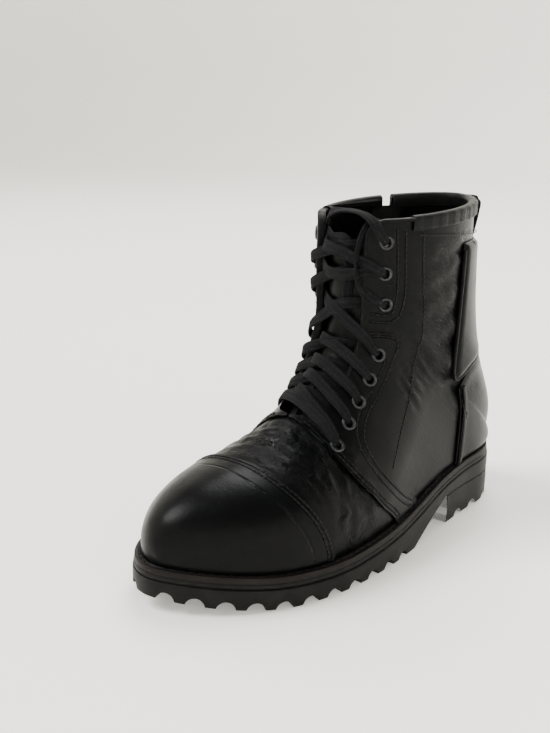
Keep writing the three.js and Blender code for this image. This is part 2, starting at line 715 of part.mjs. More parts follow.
function insole() {
  const toe = featherToe + insoleInset;
  const heel = featherHeel - insoleInset;
  const bottom = (y) => weltTop(y) - weltThickness;
  const top = (y) => bottom(y) + insoleThickness;
  return layer(drawnIn(insoleInset), toe, heel, top, bottom, soleStations, false);
}

const zipSlot = () => onSide(alongZip(zipSlotWidth / 2, zipBottom, shaftHeight * 1.2), -1);
const bothCutters = joined(eyeletCutters);

function upper() {
  return shell(0, -wall, collarRow).subtract(throatCutter()).subtract(bothCutters).subtract(zipSlot());
}

const overlayShell = shell(gap + overlayThickness, gap, collarRow);
const panelOf = (rows, side) => overlayShell.intersect(onSide(rows, side)).subtract(throatCutter());

const toeCap = () => overlayShell.intersect(sideBlock(capRows, -farSide, farSide));
const facing = (rows, side) => panelOf(rows, side).subtract(bothCutters);

const counterShell = shell(gap + counterThickness, gap, collarRow);
const counter = () => counterShell.intersect(sideBlock(counterRows, -farSide, farSide));

const padShell = shell(gap + padThickness, gap, collarRow);
function backPanel() {
  const lateral = onSide([...lateralPanelFront, ...backPanelBottom, backPanelTop], 1);
  const medialBottom = backPanelBottom.filter((row) => row.y > zipPanelFront.at(-1).y);
  const medial = onSide([...zipPanelFront, ...medialBottom, backPanelTop], -1);
  return padShell.intersect(lateral.add(medial));
}

// The collar binding, folded over the wall's edge from behind the lateral facing to the zip
const collarSlope = frontZ(collarRow) - backZ(collarRow);
const sectionRise = (mm) => mm / (backZ(collarRow + 1) - backZ(collarRow));
const bindingFrontY = 24;
function binding() {
  const over = sectionRise(gap + bindingThickness);
  const outside = shell(gap + bindingThickness, -wall - gap - bindingThickness, collarRow + over);
  const inside = shell(gap, -wall - gap, collarRow + sectionRise(gap));
  const folded = outside.subtract(inside);
  const lineZ = (y) => {
    const share = (y - frontY(collarRow)) / (lowY(collarRow) - frontY(collarRow));
    return frontZ(collarRow) - collarSlope * share - bindingDrop;
  };
  const corner = (y, z) => ({ y: y / soleLength, z: z / shaftHeight });
  const high = shaftHeight * 1.3;
  const band = [
    corner(bindingFrontY, lineZ(bindingFrontY)), corner(halfLength, lineZ(halfLength)),
    corner(halfLength, high), corner(bindingFrontY, high),
  ];
  const slot = onSide(alongZip(zipSlotWidth / 2 + 1, zipBottom, high), -1);
  const pieces = folded.intersect(sideBlock(band, -farSide, farSide)).subtract(slot).decompose();
  return pieces.sort((a, b) => b.volume() - a.volume());
}

// The tongue lies against the upper's inner face, behind the throat
const tongueRows = [
  { y: -0.2, z: 0.25 }, { y: -0.2, z: 0.6 }, { y: -0.1, z: 1.3 }, { y: 0.08, z: 1.3 },
  { y: 0.08, z: 0.66 }, { y: -0.02, z: 0.4 }, { y: -0.11, z: 0.25 },
];
function tongue() {
  const lift = -wall - gap;
  const top = collarRow - tongueDrop / (frontZ(collarRow) - frontZ(collarRow - 1));
  const sheet = shell(lift, lift - tongueThickness, top);
  const region = sideBlock(tongueRows, throatCentre - tongueHalfWidth, throatCentre + tongueHalfWidth);
  return sheet.intersect(region);
}

// A flat strip swept along points, with its width along one list of directions and its
// thickness along another
function strip(points, widths, normals, width, thickness) {
  const corners = [];
  points.forEach((point, i) => {
    for (const [a, b] of [[1, 1], [-1, 1], [-1, -1], [1, -1]]) {
      corners.push(point.clone()
        .addScaledVector(widths[i], (a * width) / 2)
        .addScaledVector(normals[i], (b * thickness) / 2));
    }
  });
  const triangles = [[0, 2, 1], [0, 3, 2]];
  for (let i = 0; i + 1 < points.length; i += 1) {
    for (let j = 0; j < 4; j += 1) {
      const a = 4 * i + j;
      const b = 4 * i + ((j + 1) % 4);
      triangles.push([a, b, b + 4], [a, b + 4, a + 4]);
    }
  }
  const end = 4 * (points.length - 1);
  triangles.push([end, end + 1, end + 2], [end, end + 2, end + 3]);
  const solid = solidFrom(corners, triangles);
  if (solid.volume() > 0) return solid;
  return solidFrom(corners, triangles.map(([a, b, c]) => [a, c, b]));
}

// A lace run over the tongue between two eyelets of opposite sides
const laceBow = 1.4 * laceThickness; // the upper run's rise where two cross
const laceLift = eyeletSeat + eyeletStand + 3 * gap + laceThickness / 2;
function laceRun(from, to, lift, bow = 0) {
  const points = [];
  const normals = [];
  const widths = [];
  const steps = 4;
  const signed = (place) => place.side * place.t;
  for (let i = 0; i <= steps; i += 1) {
    const share = i / steps;
    const section = from.section + (to.section - from.section) * share;
    const t = signed(from) + (signed(to) - signed(from)) * share;
    const side = t >= 0 ? 1 : -1;
    points.push(liftedPoint(section, Math.abs(t), side, lift + bow * Math.sin(Math.PI * share)));
    normals.push(lastNormal(section, Math.abs(t), side));
  }
  points.forEach((point, i) => {
    const ahead = points[Math.min(i + 1, steps)].clone().sub(points[Math.max(i - 1, 0)]);
    widths.push(ahead.cross(normals[i]).normalize());
  });
  return strip(points, widths, normals, laceWidth, laceThickness);
}

const [lateralEyelets, medialEyelets] = eyeletPlaces;
const laceCross = (i) => laceRun(lateralEyelets[i + 1], medialEyelets[i], laceLift)
  .add(laceRun(medialEyelets[i + 1], lateralEyelets[i], laceLift, laceBow));
function laces() {
  const crosses = eyeletRows.slice(1).map((row, i) => laceCross(i));
  const bar = laceRun(lateralEyelets.at(-1), medialEyelets.at(-1), laceLift);
  const whole = joined([bar, ...crosses]).decompose();
  return whole.sort((a, b) => b.volume() - a.volume())[0];
}

// The pull loop, a strap sewn to the back of the shaft and bowed away from it
function pullLoop() {
  const backY = (z) => {
    let section = heelBackRow;
    while (section < collarRow && backZ(section) < z) section += 0.05;
    return lowY(section);
  };
  const seat = padThickness + 4 * gap + loopThickness / 2;
  const middle = (loopTop + loopBottom) / 2;
  const rows = [
    { z: loopBottom - 12, off: seat },
    { z: loopBottom, off: seat },
    { z: loopBottom + 8, off: seat + 0.2 * loopStandOff },
    { z: middle, off: seat + 0.6 * loopStandOff },
    { z: loopTop - 5, off: seat + 0.97 * loopStandOff },
    { z: loopTop, off: seat + 0.92 * loopStandOff },
    { z: loopTop + 2, off: seat + 0.6 * loopStandOff },
    { z: loopTop + 1.5, off: seat + 0.2 * loopStandOff },
  ];
  const points = rows.map((row) => new THREE.Vector3(0, backY(row.z) + row.off, row.z));
  const widths = points.map(() => new THREE.Vector3(1, 0, 0));
  const normals = points.map((point, i) => {
    const ahead = points[Math.min(i + 1, points.length - 1)].clone().sub(points[Math.max(i - 1, 0)]);
    return new THREE.Vector3(1, 0, 0).cross(ahead).normalize();
  });
  return strip(points, widths, normals, loopWidth, loopThickness);
}

// The zip
const tapeLift = -wall - gap;
const zipTapeTop = shaftHeight - bindingDrop - 5; // the wide tape ends under the binding
function zipTape() {
  const wide = onSide(alongZip(zipTapeWidth / 2, zipBottom - 4, zipTapeTop), -1);
  const narrow = onSide(alongZip(zipSlotWidth / 2, zipTapeTop - 1, shaftHeight * 1.2), -1);
  return shell(tapeLift, tapeLift - zipTapeThickness, collarRow).intersect(wide.add(narrow));
}
const teethSunk = 0.6; // below the leather's outer face
const zipTeeth = () => shell(-teethSunk, -wall, collarRow)
  .intersect(onSide(alongZip(zipTeethWidth / 2, zipBottom + gap, zipTop), -1));

// The slider's own frame: x across the zip, y up along it, z outwards
function sliderFrame() {
  const at = (z) => {
    const place = locate(zipLineY(z), z);
    return { point: lastPoint(place.section, place.t, -1), normal: lastNormal(place.section, place.t, -1) };
  };
  const { point, normal } = at(sliderPlace);
  const along = at(sliderPlace + sliderLength).point.sub(at(sliderPlace - sliderLength).point);
  const up = along.addScaledVector(normal, -along.dot(normal)).normalize();
  const across = new THREE.Vector3().crossVectors(up, normal);
  return new THREE.Matrix4().makeBasis(across, up, normal).setPosition(point);
}
const slidePlace = sliderFrame();
const sliderBase = -teethSunk + gap;
const sliderTop = sliderBase + sliderThickness;
const pinHeight = sliderTop + bridgeRoom / 2;

function polygon(corners) {
  return new THREE.Shape(corners.map(([x, y]) => new THREE.Vector2(x, y)));
}

function slider() {
  const halfWidth = sliderWidth / 2;
  const halfLong = sliderLength / 2;
  const nose = sliderWidth / 4;
  const plan = polygon([
    [-halfWidth, -halfLong + nose], [-nose, -halfLong], [nose, -halfLong], [halfWidth, -halfLong + nose],
    [halfWidth, halfLong - nose], [halfWidth - nose, halfLong], [-halfWidth + nose, halfLong],
    [-halfWidth, halfLong - nose],
  ]);
  const body = new THREE.ExtrudeGeometry(plan, { depth: sliderThickness, bevelEnabled: false });
  const end = bridgeLength / 2;
  const post = bridgeBar;
  const low = sliderTop - sliderThickness / 4;
  const high = sliderTop + bridgeRoom + bridgeBar;
  const under = sliderTop + bridgeRoom;
  const shoulder = high - post / 2;
  const arch = polygon([
    [-end, low], [-end + post, low], [-end + post, under], [end - post, under], [end - post, low],
    [end, low], [end, shoulder], [end - post / 2, high], [-end + post / 2, high], [-end, shoulder],
  ]);
  const bridge = new THREE.ExtrudeGeometry(arch, { depth: bridgeWidth, bevelEnabled: false });
  const turn = new THREE.Matrix4().makeBasis(
    new THREE.Vector3(0, 1, 0),
    new THREE.Vector3(0, 0, 1),
    new THREE.Vector3(1, 0, 0),
  ).setPosition(-bridgeWidth / 2, 0, 0);
  const seat = new THREE.Matrix4().makeTranslation(0, 0, sliderBase);
  const arched = placed(bridge, slidePlace.clone().multiply(turn));
  return placed(body, slidePlace.clone().multiply(seat)).add(arched);
}

// The tab hangs from a cross bar under the bridge, and its slot clears the bridge's ends
function pullTab() {
  const half = pullTabWidth / 2;
  const bar = pullTabThickness / 2;
  const slotHalf = bridgeWidth / 2 + 2 * gap - gap / 2;
  const slotEnd = bridgeLength / 2 + pinDrop + 2 * gap;
  const taper = half / 3;
  const plan = polygon([
    [-half, bar], [-half, -slotEnd - half], [-half + taper, -pullTabLength + half],
    [-half / 2, -pullTabLength], [half / 2, -pullTabLength], [half - taper, -pullTabLength + half],
    [half, -slotEnd - half], [half, bar],
  ]);
  plan.holes.push(polygon([
    [-slotHalf, -bar], [slotHalf, -bar], [slotHalf, -slotEnd], [-slotHalf, -slotEnd],
  ]));
  const hole = new THREE.Path();
  hole.absarc(0, -pullTabLength + pullTabHole * 1.6, pullTabHole / 2, 0, 2 * Math.PI, false);
  plan.holes.push(hole);
  const sizes = { depth: pullTabThickness, bevelEnabled: false, curveSegments: 4 };
  const plate = new THREE.ExtrudeGeometry(plan, sizes);
  const seat = new THREE.Matrix4().makeTranslation(0, -pinDrop, pinHeight - pullTabThickness / 2);
  return placed(plate, slidePlace.clone().multiply(seat));
}

const finishes = {
  leather: { color: 0x1b1d1e, roughness: 0.42, metalness: 0 },
  lining: { color: 0x2a3133, roughness: 0.9, metalness: 0 },
  rubber: { color: 0x1d1a18, roughness: 0.8, metalness: 0 },
  weltLeather: { color: 0x2c221e, roughness: 0.6, metalness: 0 },
  lace: { color: 0x0e0f10, roughness: 0.9, metalness: 0 },
  gunmetal: { color: 0x4a4c4e, roughness: 0.35, metalness: 0.9 },
  tape: { color: 0x15171a, roughness: 0.9, metalness: 0 },
};

const boot = new THREE.Group();
function part(name, finish, solid) {
  const mesh = new THREE.Mesh(toGeometry(solid), new THREE.MeshStandardMaterial(finishes[finish]));
  mesh.name = name;
  boot.add(mesh);
}

part('outsole', 'rubber', outsole());
part('heel', 'rubber', heel());
part('midsole', 'rubber', midsole());
part('welt', 'weltLeather', welt());
part('insole', 'lining', insole());
part('upper', 'leather', upper());
part('tongue', 'leather', tongue());
part('toe_cap', 'leather', toeCap());
for (const side of [1, -1]) {
  part(`lower_facing_${sideName(side)}`, 'leather', facing(lowerFacingRows, side));
  part(`upper_facing_${sideName(side)}`, 'leather', facing(upperFacingRows, side));
}
part('heel_counter', 'leather', counter());
part('back_panel', 'leather', backPanel());
const [bindingLong, bindingShort] = binding();
part('collar_binding', 'leather', bindingLong);
part('collar_binding_medial', 'leather', bindingShort);
part('pull_loop', 'leather', pullLoop());
eyeletPlaces.forEach((places) => places.forEach((place, i) => {
  part(`eyelet_${sideName(place.side)}_${i + 1}`, 'gunmetal', eyelet(place));
}));
part('lace_crossings', 'lace', laces());
part('zip_tape', 'tape', zipTape());
part('zip_teeth', 'gunmetal', zipTeeth());
part('zip_slider', 'gunmetal', slider());
part('zip_pull_tab', 'gunmetal', pullTab());

export default boot;
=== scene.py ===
import math

import bpy
import numpy as np
from mathutils import Matrix, Vector


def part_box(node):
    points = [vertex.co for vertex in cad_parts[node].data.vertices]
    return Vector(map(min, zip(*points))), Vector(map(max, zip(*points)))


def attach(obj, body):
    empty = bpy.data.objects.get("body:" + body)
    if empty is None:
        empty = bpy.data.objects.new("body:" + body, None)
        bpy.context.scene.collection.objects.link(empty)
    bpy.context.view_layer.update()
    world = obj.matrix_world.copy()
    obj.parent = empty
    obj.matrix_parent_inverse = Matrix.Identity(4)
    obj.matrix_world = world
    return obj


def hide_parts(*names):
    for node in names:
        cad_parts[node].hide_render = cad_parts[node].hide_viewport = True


# Combat boot, left foot. Lengths are millimetres here and metres in the meshes.
# Toe towards -Y, heel towards +Y, lateral side towards +X, up is +Z.

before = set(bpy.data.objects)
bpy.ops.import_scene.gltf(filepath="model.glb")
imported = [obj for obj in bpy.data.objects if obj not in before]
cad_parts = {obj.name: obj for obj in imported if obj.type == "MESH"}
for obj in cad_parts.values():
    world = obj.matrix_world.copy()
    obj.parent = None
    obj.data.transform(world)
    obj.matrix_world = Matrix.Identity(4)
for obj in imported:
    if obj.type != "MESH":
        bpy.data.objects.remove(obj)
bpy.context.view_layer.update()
MM = 0.001

# Sizes that the solids were built to
SOLE_LENGTH = 302
BALL_HALF = 57
HEEL_HALF = 37.5
TOE_INWARD = 8.5
TOE_SPRING = 8.7
BALL_STACK = 18.3
HEEL_STACK = 36.2
TOE_STACK = 25.4
WELT_THICKNESS = 3.6
MIDSOLE_THICKNESS = 3
HEEL_BLOCK_HEIGHT = 19
BREAST_PLACE = 61  # the heel block starts here
WAIST_START = 15  # behind it the outsole rises to the heel block
WELT_REACH_TOE = 7
WELT_REACH_SIDE = 6.5
WELT_REACH_HEEL = 5
SHAFT_HEIGHT = 206
WALL = 2.4  # thickness of the upper
OVERLAY = 1.5  # thickness of the cap and the facings
COUNTER = 1.8
PAD = 3.4
TONGUE_DROP = 12  # from the collar to the tongue's top
TONGUE_HALF = 27
THROAT_CENTRE = -1.5
THROAT_HALF = 18
GAP = 0.3  # room between two curved pieces
OVERLAY_LIFT = GAP + OVERLAY
LACE_WIDTH = 7
LACE_THICKNESS = 1.4
LOOP_WIDTH = 15
ZIP_SLOT = 8
ZIP_TOP = 199
ZIP_BOTTOM = 92
HALF_LENGTH = SOLE_LENGTH / 2
SIDES = ((1, "lateral"), (-1, "medial"))

# Camera, fitted to the photograph's frame of 550 by 733
CAMERA_PLACE = (369.8, -463.4, 266.4)
CAMERA_AZIMUTH = math.radians(42.5)
CAMERA_ELEVATION = math.radians(15)
CAMERA_ROLL = math.radians(1.1)
CAMERA_SENSOR = 36
CAMERA_LENS = 49.11


def add_camera():
    """The camera stands where the photograph was taken from."""
    back = Vector((
        math.sin(CAMERA_AZIMUTH) * math.cos(CAMERA_ELEVATION),
        -math.cos(CAMERA_AZIMUTH) * math.cos(CAMERA_ELEVATION),
        math.sin(CAMERA_ELEVATION),
    ))
    level = Vector((math.cos(CAMERA_AZIMUTH), math.sin(CAMERA_AZIMUTH), 0))
    high = back.cross(level)
    right = level * math.cos(CAMERA_ROLL) + high * math.sin(CAMERA_ROLL)
    up = high * math.cos(CAMERA_ROLL) - level * math.sin(CAMERA_ROLL)
    bpy.ops.object.camera_add()
    camera = bpy.context.object
    place = Matrix((right, up, back)).transposed().to_4x4()
    place.translation = Vector(CAMERA_PLACE) * MM
    camera.matrix_world = place
    camera.data.sensor_fit = "VERTICAL"
    camera.data.sensor_height = CAMERA_SENSOR
    camera.data.lens = CAMERA_LENS
    camera.data.clip_start = 0.01
    bpy.context.scene.camera = camera


add_camera()


# Curves and the last


def through(places, values):
    """A smooth curve through a column of a table, read at any place."""
    places = np.array(places, float)
    values = np.array(values, float)
    last = len(places) - 1
    before = np.maximum(np.arange(last + 1) - 1, 0)
    after = np.minimum(np.arange(last + 1) + 1, last)
    slopes = (values[after] - values[before]) / (places[after] - places[before])

    def read(place):
        place = np.asarray(place, float)
        i = np.clip(np.searchsorted(places, place, side="left") - 1, 0, last - 1)
        span = places[i + 1] - places[i]
        t = (place - places[i]) / span
        rise = t * t * (3 - 2 * t)
        leave = t * (1 - t) * (1 - t) * span
        arrive = t * t * (t - 1) * span
        return values[i] * (1 - rise) + values[i + 1] * rise + slopes[i] * leave + slopes[i + 1] * arrive

    return read


# Sole outline: share of the length, share from the ball's to the heel's width, lateral, medial
OUTLINE_ROWS = [
    (0, 0, 0, 0), (0.012, 0, 0.2, 0.23), (0.04, 0, 0.4, 0.44), (0.09, 0, 0.64, 0.68),
    (0.17, 0, 0.86, 0.89), (0.27, 0, 0.98, 0.99), (0.36, 0, 1, 0.97), (0.46, 0, 0.975, 0.86),
    (0.57, 0.4, 1.03, 0.84), (0.68, 0.85, 1.106, 0.92), (0.79, 1, 1.073, 0.98),
    (0.88, 1, 0.992, 0.95), (0.95, 1, 0.71, 0.71), (0.985, 1, 0.397, 0.397), (1, 1, 0, 0),
]
# Height of the welt's top: share of the length, share of the heel's and of the toe's stack
STACK_ROWS = [
    (0, 0, 1), (0.08, 0, 0.55), (0.18, 0, 0.08), (0.33, 0, 0), (0.5, 0.25, 0),
    (0.62, 0.6, 0), (0.72, 0.86, 0), (0.85, 1, 0), (1, 1, 0),
]
# Sections of the last: ridge y and z, low y and z, half widths, share of its own width,
# widest place, and roundness before and after it
LAST_ROWS = [
    (-0.4765, 0.126, None, None, 0, 0, 0, 0.8, 2.1, 2),
    (-0.475, 0.172, -0.471, None, 0.3, 0.3, 0, 0.8, 1.9, 2),
    (-0.452, 0.235, -0.447, None, 0.6, 0.6, 0, 0.78, 1.9, 2),
    (-0.405, 0.28, -0.4, None, 0.8, 0.8, 0, 0.76, 1.9, 2),
    (-0.345, 0.309, -0.336, None, 0.9, 0.9, 0, 0.74, 1.95, 2),
    (-0.28, 0.332, -0.262, None, 0.92, 0.9, 0, 0.74, 2, 2),
    (-0.219, 0.373, -0.182, None, 0.92, 0.88, 0, 0.74, 1.75, 2),
    (-0.159, 0.422, -0.098, None, 0.9, 0.84, 0, 0.76, 1.55, 2),
    (-0.113, 0.473, 0, None, 0.84, 0.77, 0.2, 0.74, 1.6, 2.2),
    (-0.076, 0.525, 0.104, None, 0.77, 0.7, 0.6, 0.66, 1.8, 2.3),
    (-0.052, 0.569, 0.21, None, 0.71, 0.66, 1, 0.56, 1.95, 2.4),
    (-0.036, 0.612, 0.31, None, 0.67, 0.65, 1, 0.48, 2.1, 2.5),
    (-0.029, 0.65, 0.397, None, 0.655, 0.645, 1, 0.44, 2.1, 2.6),
    (-0.026, 0.684, 0.454, None, 0.65, 0.65, 1, 0.42, 2.1, 2.6),
    (-0.025, 0.716, None, None, 0.65, 0.655, 1, 0.42, 2.1, 2.6),
    (-0.025, 0.748, 0.4885, 0.262, 0.655, 0.66, 1, 0.42, 2.1, 2.6),
    (-0.025, 0.782, 0.466, 0.374, 0.66, 0.665, 1, 0.43, 2.1, 2.2),
    (-0.025, 0.82, 0.425, 0.49, 0.67, 0.67, 1, 0.45, 2.1, 1.95),
    (-0.024, 0.863, 0.402, 0.63, 0.68, 0.68, 1, 0.47, 2.1, 1.85),
    (-0.022, 0.91, 0.392, 0.79, 0.69, 0.69, 1, 0.48, 2.1, 1.8),
    (-0.018, 0.965, 0.386, 1, 0.7, 0.7, 1, 0.48, 2.1, 1.8),
    (-0.013, 1.04, 0.384, 1.09, 0.705, 0.705, 1, 0.48, 2.1, 1.8),
]
HEEL_BACK_ROW = 14
COLLAR_ROW = 20
TOP_ROW = len(LAST_ROWS) - 1
FEATHER_TOE = -HALF_LENGTH + WELT_REACH_TOE
FEATHER_HEEL = HALF_LENGTH - WELT_REACH_HEEL
SIDE_BULGE = 1.03


def round_place(along):
    """A share of the sole's length as an angle, so that both of its ends stay round."""
    return np.arccos(1 - 2 * np.clip(along, 0, 1))


outline_reference = [BALL_HALF + (HEEL_HALF - BALL_HALF) * row[1] for row in OUTLINE_ROWS]
outline_places = round_place(np.array([row[0] for row in OUTLINE_ROWS], float))
lateral_outline = through(outline_places, [r[2] * w for r, w in zip(OUTLINE_ROWS, outline_reference)])
medial_outline = through(outline_places, [r[3] * w for r, w in zip(OUTLINE_ROWS, outline_reference)])
stack_curve = through(
    [row[0] for row in STACK_ROWS],
    [BALL_STACK + (HEEL_STACK - BALL_STACK) * r[1] + (TOE_STACK - BALL_STACK) * r[2] for r in STACK_ROWS],
)


def sole_half(along, side):
    """Half width of the sole at a share of its length."""
    place = round_place(along)
    return np.maximum(np.where(side > 0, lateral_outline(place), medial_outline(place)), 0)


def centre_line(y):
    """The sole's middle, which bends inwards to the toe."""
    along = np.clip((y + HALF_LENGTH) / SOLE_LENGTH, 0, 1)
    return -TOE_INWARD * np.clip((0.35 - along) / 0.35, 0, 1) ** 1.5


def welt_top(y):
    return stack_curve(np.clip((y + HALF_LENGTH) / SOLE_LENGTH, 0, 1))


def feather_half(y, side):
    """Half width of the upper's edge on the welt."""
    along = (y - FEATHER_TOE) / (FEATHER_HEEL - FEATHER_TOE)
    return sole_half(along, side) * (1 - WELT_REACH_SIDE / BALL_HALF)


def last_column(index, scale):
    return through(range(len(LAST_ROWS)), [row[index] * scale for row in LAST_ROWS])


edge_ends = {0: FEATHER_TOE, HEEL_BACK_ROW: FEATHER_HEEL}
front_y = last_column(0, SOLE_LENGTH)
front_z = last_column(1, SHAFT_HEIGHT)
low_y = through(
    range(len(LAST_ROWS)),
    [edge_ends[i] if i in edge_ends else row[2] * SOLE_LENGTH for i, row in enumerate(LAST_ROWS)],
)
lateral_half = last_column(4, BALL_HALF)
medial_half = last_column(5, BALL_HALF)
own_share = last_column(6, 1)
widest_place = last_column(7, 1)
crown_power = last_column(8, 1)
close_power = last_column(9, 1)
back_heights = [HEEL_STACK + GAP] + [row[3] * SHAFT_HEIGHT for row in LAST_ROWS[HEEL_BACK_ROW + 1:]]
back_z = through(range(HEEL_BACK_ROW, len(LAST_ROWS)), back_heights)


def last_point(section, turn):
    """Outer surface of the upper. turn runs from the ridge at 0 to the welt or the back seam,
    1 on the lateral and -1 on the medial side."""
    section, turn = np.broadcast_arrays(np.asarray(section, float), np.asarray(turn, float))
    side = np.where(turn >= 0, 1, -1)
    s = (1 - np.cos(np.pi * np.minimum(np.abs(turn), 1))) / 2
    closed = section >= HEEL_BACK_ROW
    end_y = low_y(section)
    end_y = np.where(closed, end_y, np.clip(end_y, FEATHER_TOE, FEATHER_HEEL))
    end_z = np.where(closed, back_z(np.maximum(section, HEEL_BACK_ROW)), welt_top(end_y) + GAP)
    start_y = np.where(section <= 0, end_y, front_y(section))
    start_z = np.where(section <= 0, end_z, front_z(section))
    y = start_y + (end_y - start_y) * s
    z = start_z + (end_z - start_z) * s
    edge = np.where(closed, 0, feather_half(end_y, side))
    table = np.where(side > 0, lateral_half(section), medial_half(section))
    own = np.clip(own_share(section), 0, 1)
    half = edge * SIDE_BULGE * (1 - own) + table * own
    place = widest_place(section)
    rise = np.clip(1 - s / place, 0, 1)
    crown = crown_power(section)
    before = half * np.maximum(1 - rise ** crown, 0) ** (1 / crown)
    fall = np.clip((s - place) / (1 - place), 0, 1)
    close = close_power(section)
    after = edge + (half - edge) * np.maximum(1 - fall ** close, 0) ** (1 / close)
    x = np.where(s < place, before, after)
    return np.stack([centre_line(y) + side * x, y, z], -1)


def unit(vectors):
    return vectors / np.maximum(np.linalg.norm(vectors, axis=-1, keepdims=True), 1e-9)


def run_lengths(line):
    """Length along a line from its start to each of its points."""
    return np.concatenate([[0], np.cumsum(np.linalg.norm(np.diff(line, axis=0), axis=1))])


def side_normal(section, turn, side):
    """Outward normal of the last, read on one side only."""
    step = 0.02
    t = np.clip(np.abs(turn), 0, 1)
    a = last_point(np.maximum(section - step, step), side * np.maximum(t, 1e-6))
    b = last_point(np.minimum(section + step, TOP_ROW), side * np.maximum(t, 1e-6))
    c = last_point(section, side * np.maximum(t - step, 1e-6))
    d = last_point(section, side * np.minimum(t + step, 1))
    return unit(np.cross(b - a, d - c) * -side[..., None])


def last_normal(section, turn):
    section, turn = np.broadcast_arrays(np.asarray(section, float), np.asarray(turn, float))
    side = np.where(turn >= 0, 1.0, -1.0)
    normal = side_normal(section, turn, side)
    other = side_normal(section, turn, -side)
    seam = (np.abs(turn) < 1e-4) | ((np.abs(turn) > 1 - 1e-4) & (section >= HEEL_BACK_ROW))
    both = normal + other
    both[..., 0] = 0
    normal = np.where(seam[..., None], unit(both), normal)
    normal[section <= 0] = (0, -1, 0)
    return normal


def locate(y, z):
    """Section and turn of a place given in side view, on the lateral side."""
    y = np.asarray(y, float)
    z = np.asarray(z, float)
    low = np.full(y.shape, 0.01)
    high = np.full(y.shape, float(TOP_ROW))
    for _ in range(40):
        middle = (low + high) / 2
        a = last_point(middle, 0.0)
        b = last_point(middle, 1.0)
        cross = (b[..., 1] - a[..., 1]) * (z - a[..., 2]) - (b[..., 2] - a[..., 2]) * (y - a[..., 1])
        low = np.where(cross > 0, middle, low)
        high = np.where(cross > 0, high, middle)
    a = last_point(low, 0.0)
    b = last_point(low, 1.0)
    run = b - a
    run[..., 0] = 0
    reach = (y - a[..., 1]) * run[..., 1] + (z - a[..., 2]) * run[..., 2]
    s = np.clip(reach / (run[..., 1] ** 2 + run[..., 2] ** 2), 0, 1)
    return low, np.arccos(1 - 2 * s) / np.pi


# Creases and folds. Each one is a run of (section, turn) places with a depth and a width.


def crease(places, depth, width):
    """A smooth line on the last through a crease's places."""
    section, turn = np.array(places, float).T
    steps = np.linspace(0, len(places) - 1, 4 * len(places))
    ruler = np.arange(len(places))
    line = last_point(through(ruler, section)(steps), through(ruler, turn)(steps))
    return line, depth, width


VAMP_CREASES = [
    ([(6.75, -0.5), (6.95, -0.15), (7.1, 0.15), (6.95, 0.45), (6.6, 0.7)], 1.5, 2.2),
    ([(6.4, -0.62), (6.55, -0.25), (6.7, 0.1), (6.6, 0.42), (6.3, 0.66)], 1.7, 2.5),
    ([(6.05, -0.55), (6.2, -0.2), (6.3, 0.12), (6.25, 0.4), (5.95, 0.62)], 1.3, 2.1),
    ([(5.75, -0.4), (5.85, -0.05), (5.95, 0.25), (5.8, 0.52)], 1.1, 2.0),
    ([(5.45, -0.3), (5.5, 0.05), (5.6, 0.35), (5.5, 0.55)], 0.8, 1.7),
    ([(7.3, 0.2), (7.15, 0.42), (6.9, 0.62), (6.5, 0.82)], 1.5, 2.2),
    ([(7.35, 0.42), (7.1, 0.6), (6.85, 0.78), (6.6, 0.94)], 1.4, 2.3),
    ([(7.1, 0.3), (6.8, 0.52), (6.45, 0.72)], 1.0, 1.5),
    ([(6.85, 0.2), (6.5, 0.4), (6.15, 0.56), (5.8, 0.72)], 1.0, 1.6),
    ([(6.5, 0.55), (6.3, 0.75), (6.15, 0.92)], 1.2, 2.2),
    ([(7.2, -0.3), (7.0, -0.55), (6.7, -0.8)], 1.4, 2.2),
    ([(6.8, -0.45), (6.5, -0.7), (6.3, -0.9)], 1.2, 2.1),
    ([(6.2, -0.5), (6.0, -0.72), (5.9, -0.9)], 0.9, 1.9),
    ([(7.45, -0.1), (7.35, 0.1), (7.25, 0.3)], 0.9, 1.5),
]
ANKLE_CREASES = [
    ([(13.1, 0.3), (12.6, 0.36), (12.2, 0.42)], 1.1, 2.2),
    ([(12.5, 0.29), (12.0, 0.36), (11.6, 0.44)], 1.2, 2.1),
    ([(11.9, 0.29), (11.4, 0.36), (11.1, 0.44)], 1.0, 1.9),
    ([(11.2, 0.31), (10.8, 0.38), (10.5, 0.47)], 0.9, 1.9),
    ([(14.2, 0.28), (14.0, 0.36), (14.1, 0.46), (14.5, 0.56)], 1.5, 3.2),
    ([(14.0, 0.46), (13.8, 0.55), (14.0, 0.64), (14.3, 0.7)], 1.8, 3.0),
    ([(13.2, 0.46), (13.2, 0.56), (13.5, 0.66)], 1.2, 2.8),
    ([(12.6, 0.52), (12.8, 0.62), (13.0, 0.7)], 0.9, 2.6),
]
SHAFT_FOLDS = [
    ([(15.2, 0.36), (15.9, 0.48), (16.9, 0.6)], 1.5, 5.0),
    ([(16.0, 0.33), (16.9, 0.46), (17.9, 0.58)], 1.3, 5.0),
    ([(17.4, 0.34), (18.1, 0.46), (18.7, 0.58)], 1.0, 4.5),
    ([(18.6, 0.36), (19.0, 0.48), (19.4, 0.6)], 0.8, 3.5),
    ([(15.0, 0.52), (15.3, 0.62), (15.9, 0.7)], 1.1, 3.5),
    ([(19.0, 0.5), (19.3, 0.6), (19.5, 0.68)], 0.8, 3.0),
]


def mirrored(rows, shift):
    """The same creases on the other side, moved along the boot by a share of a section."""
    return [
        ([(section + shift, -turn) for section, turn in places], depth, width)
        for places, depth, width in rows
    ]


CREASES = [crease(*row) for row in VAMP_CREASES + ANKLE_CREASES + SHAFT_FOLDS]
CREASES += [crease(*row) for row in mirrored(ANKLE_CREASES, 0.25) + mirrored(SHAFT_FOLDS, -0.2)]


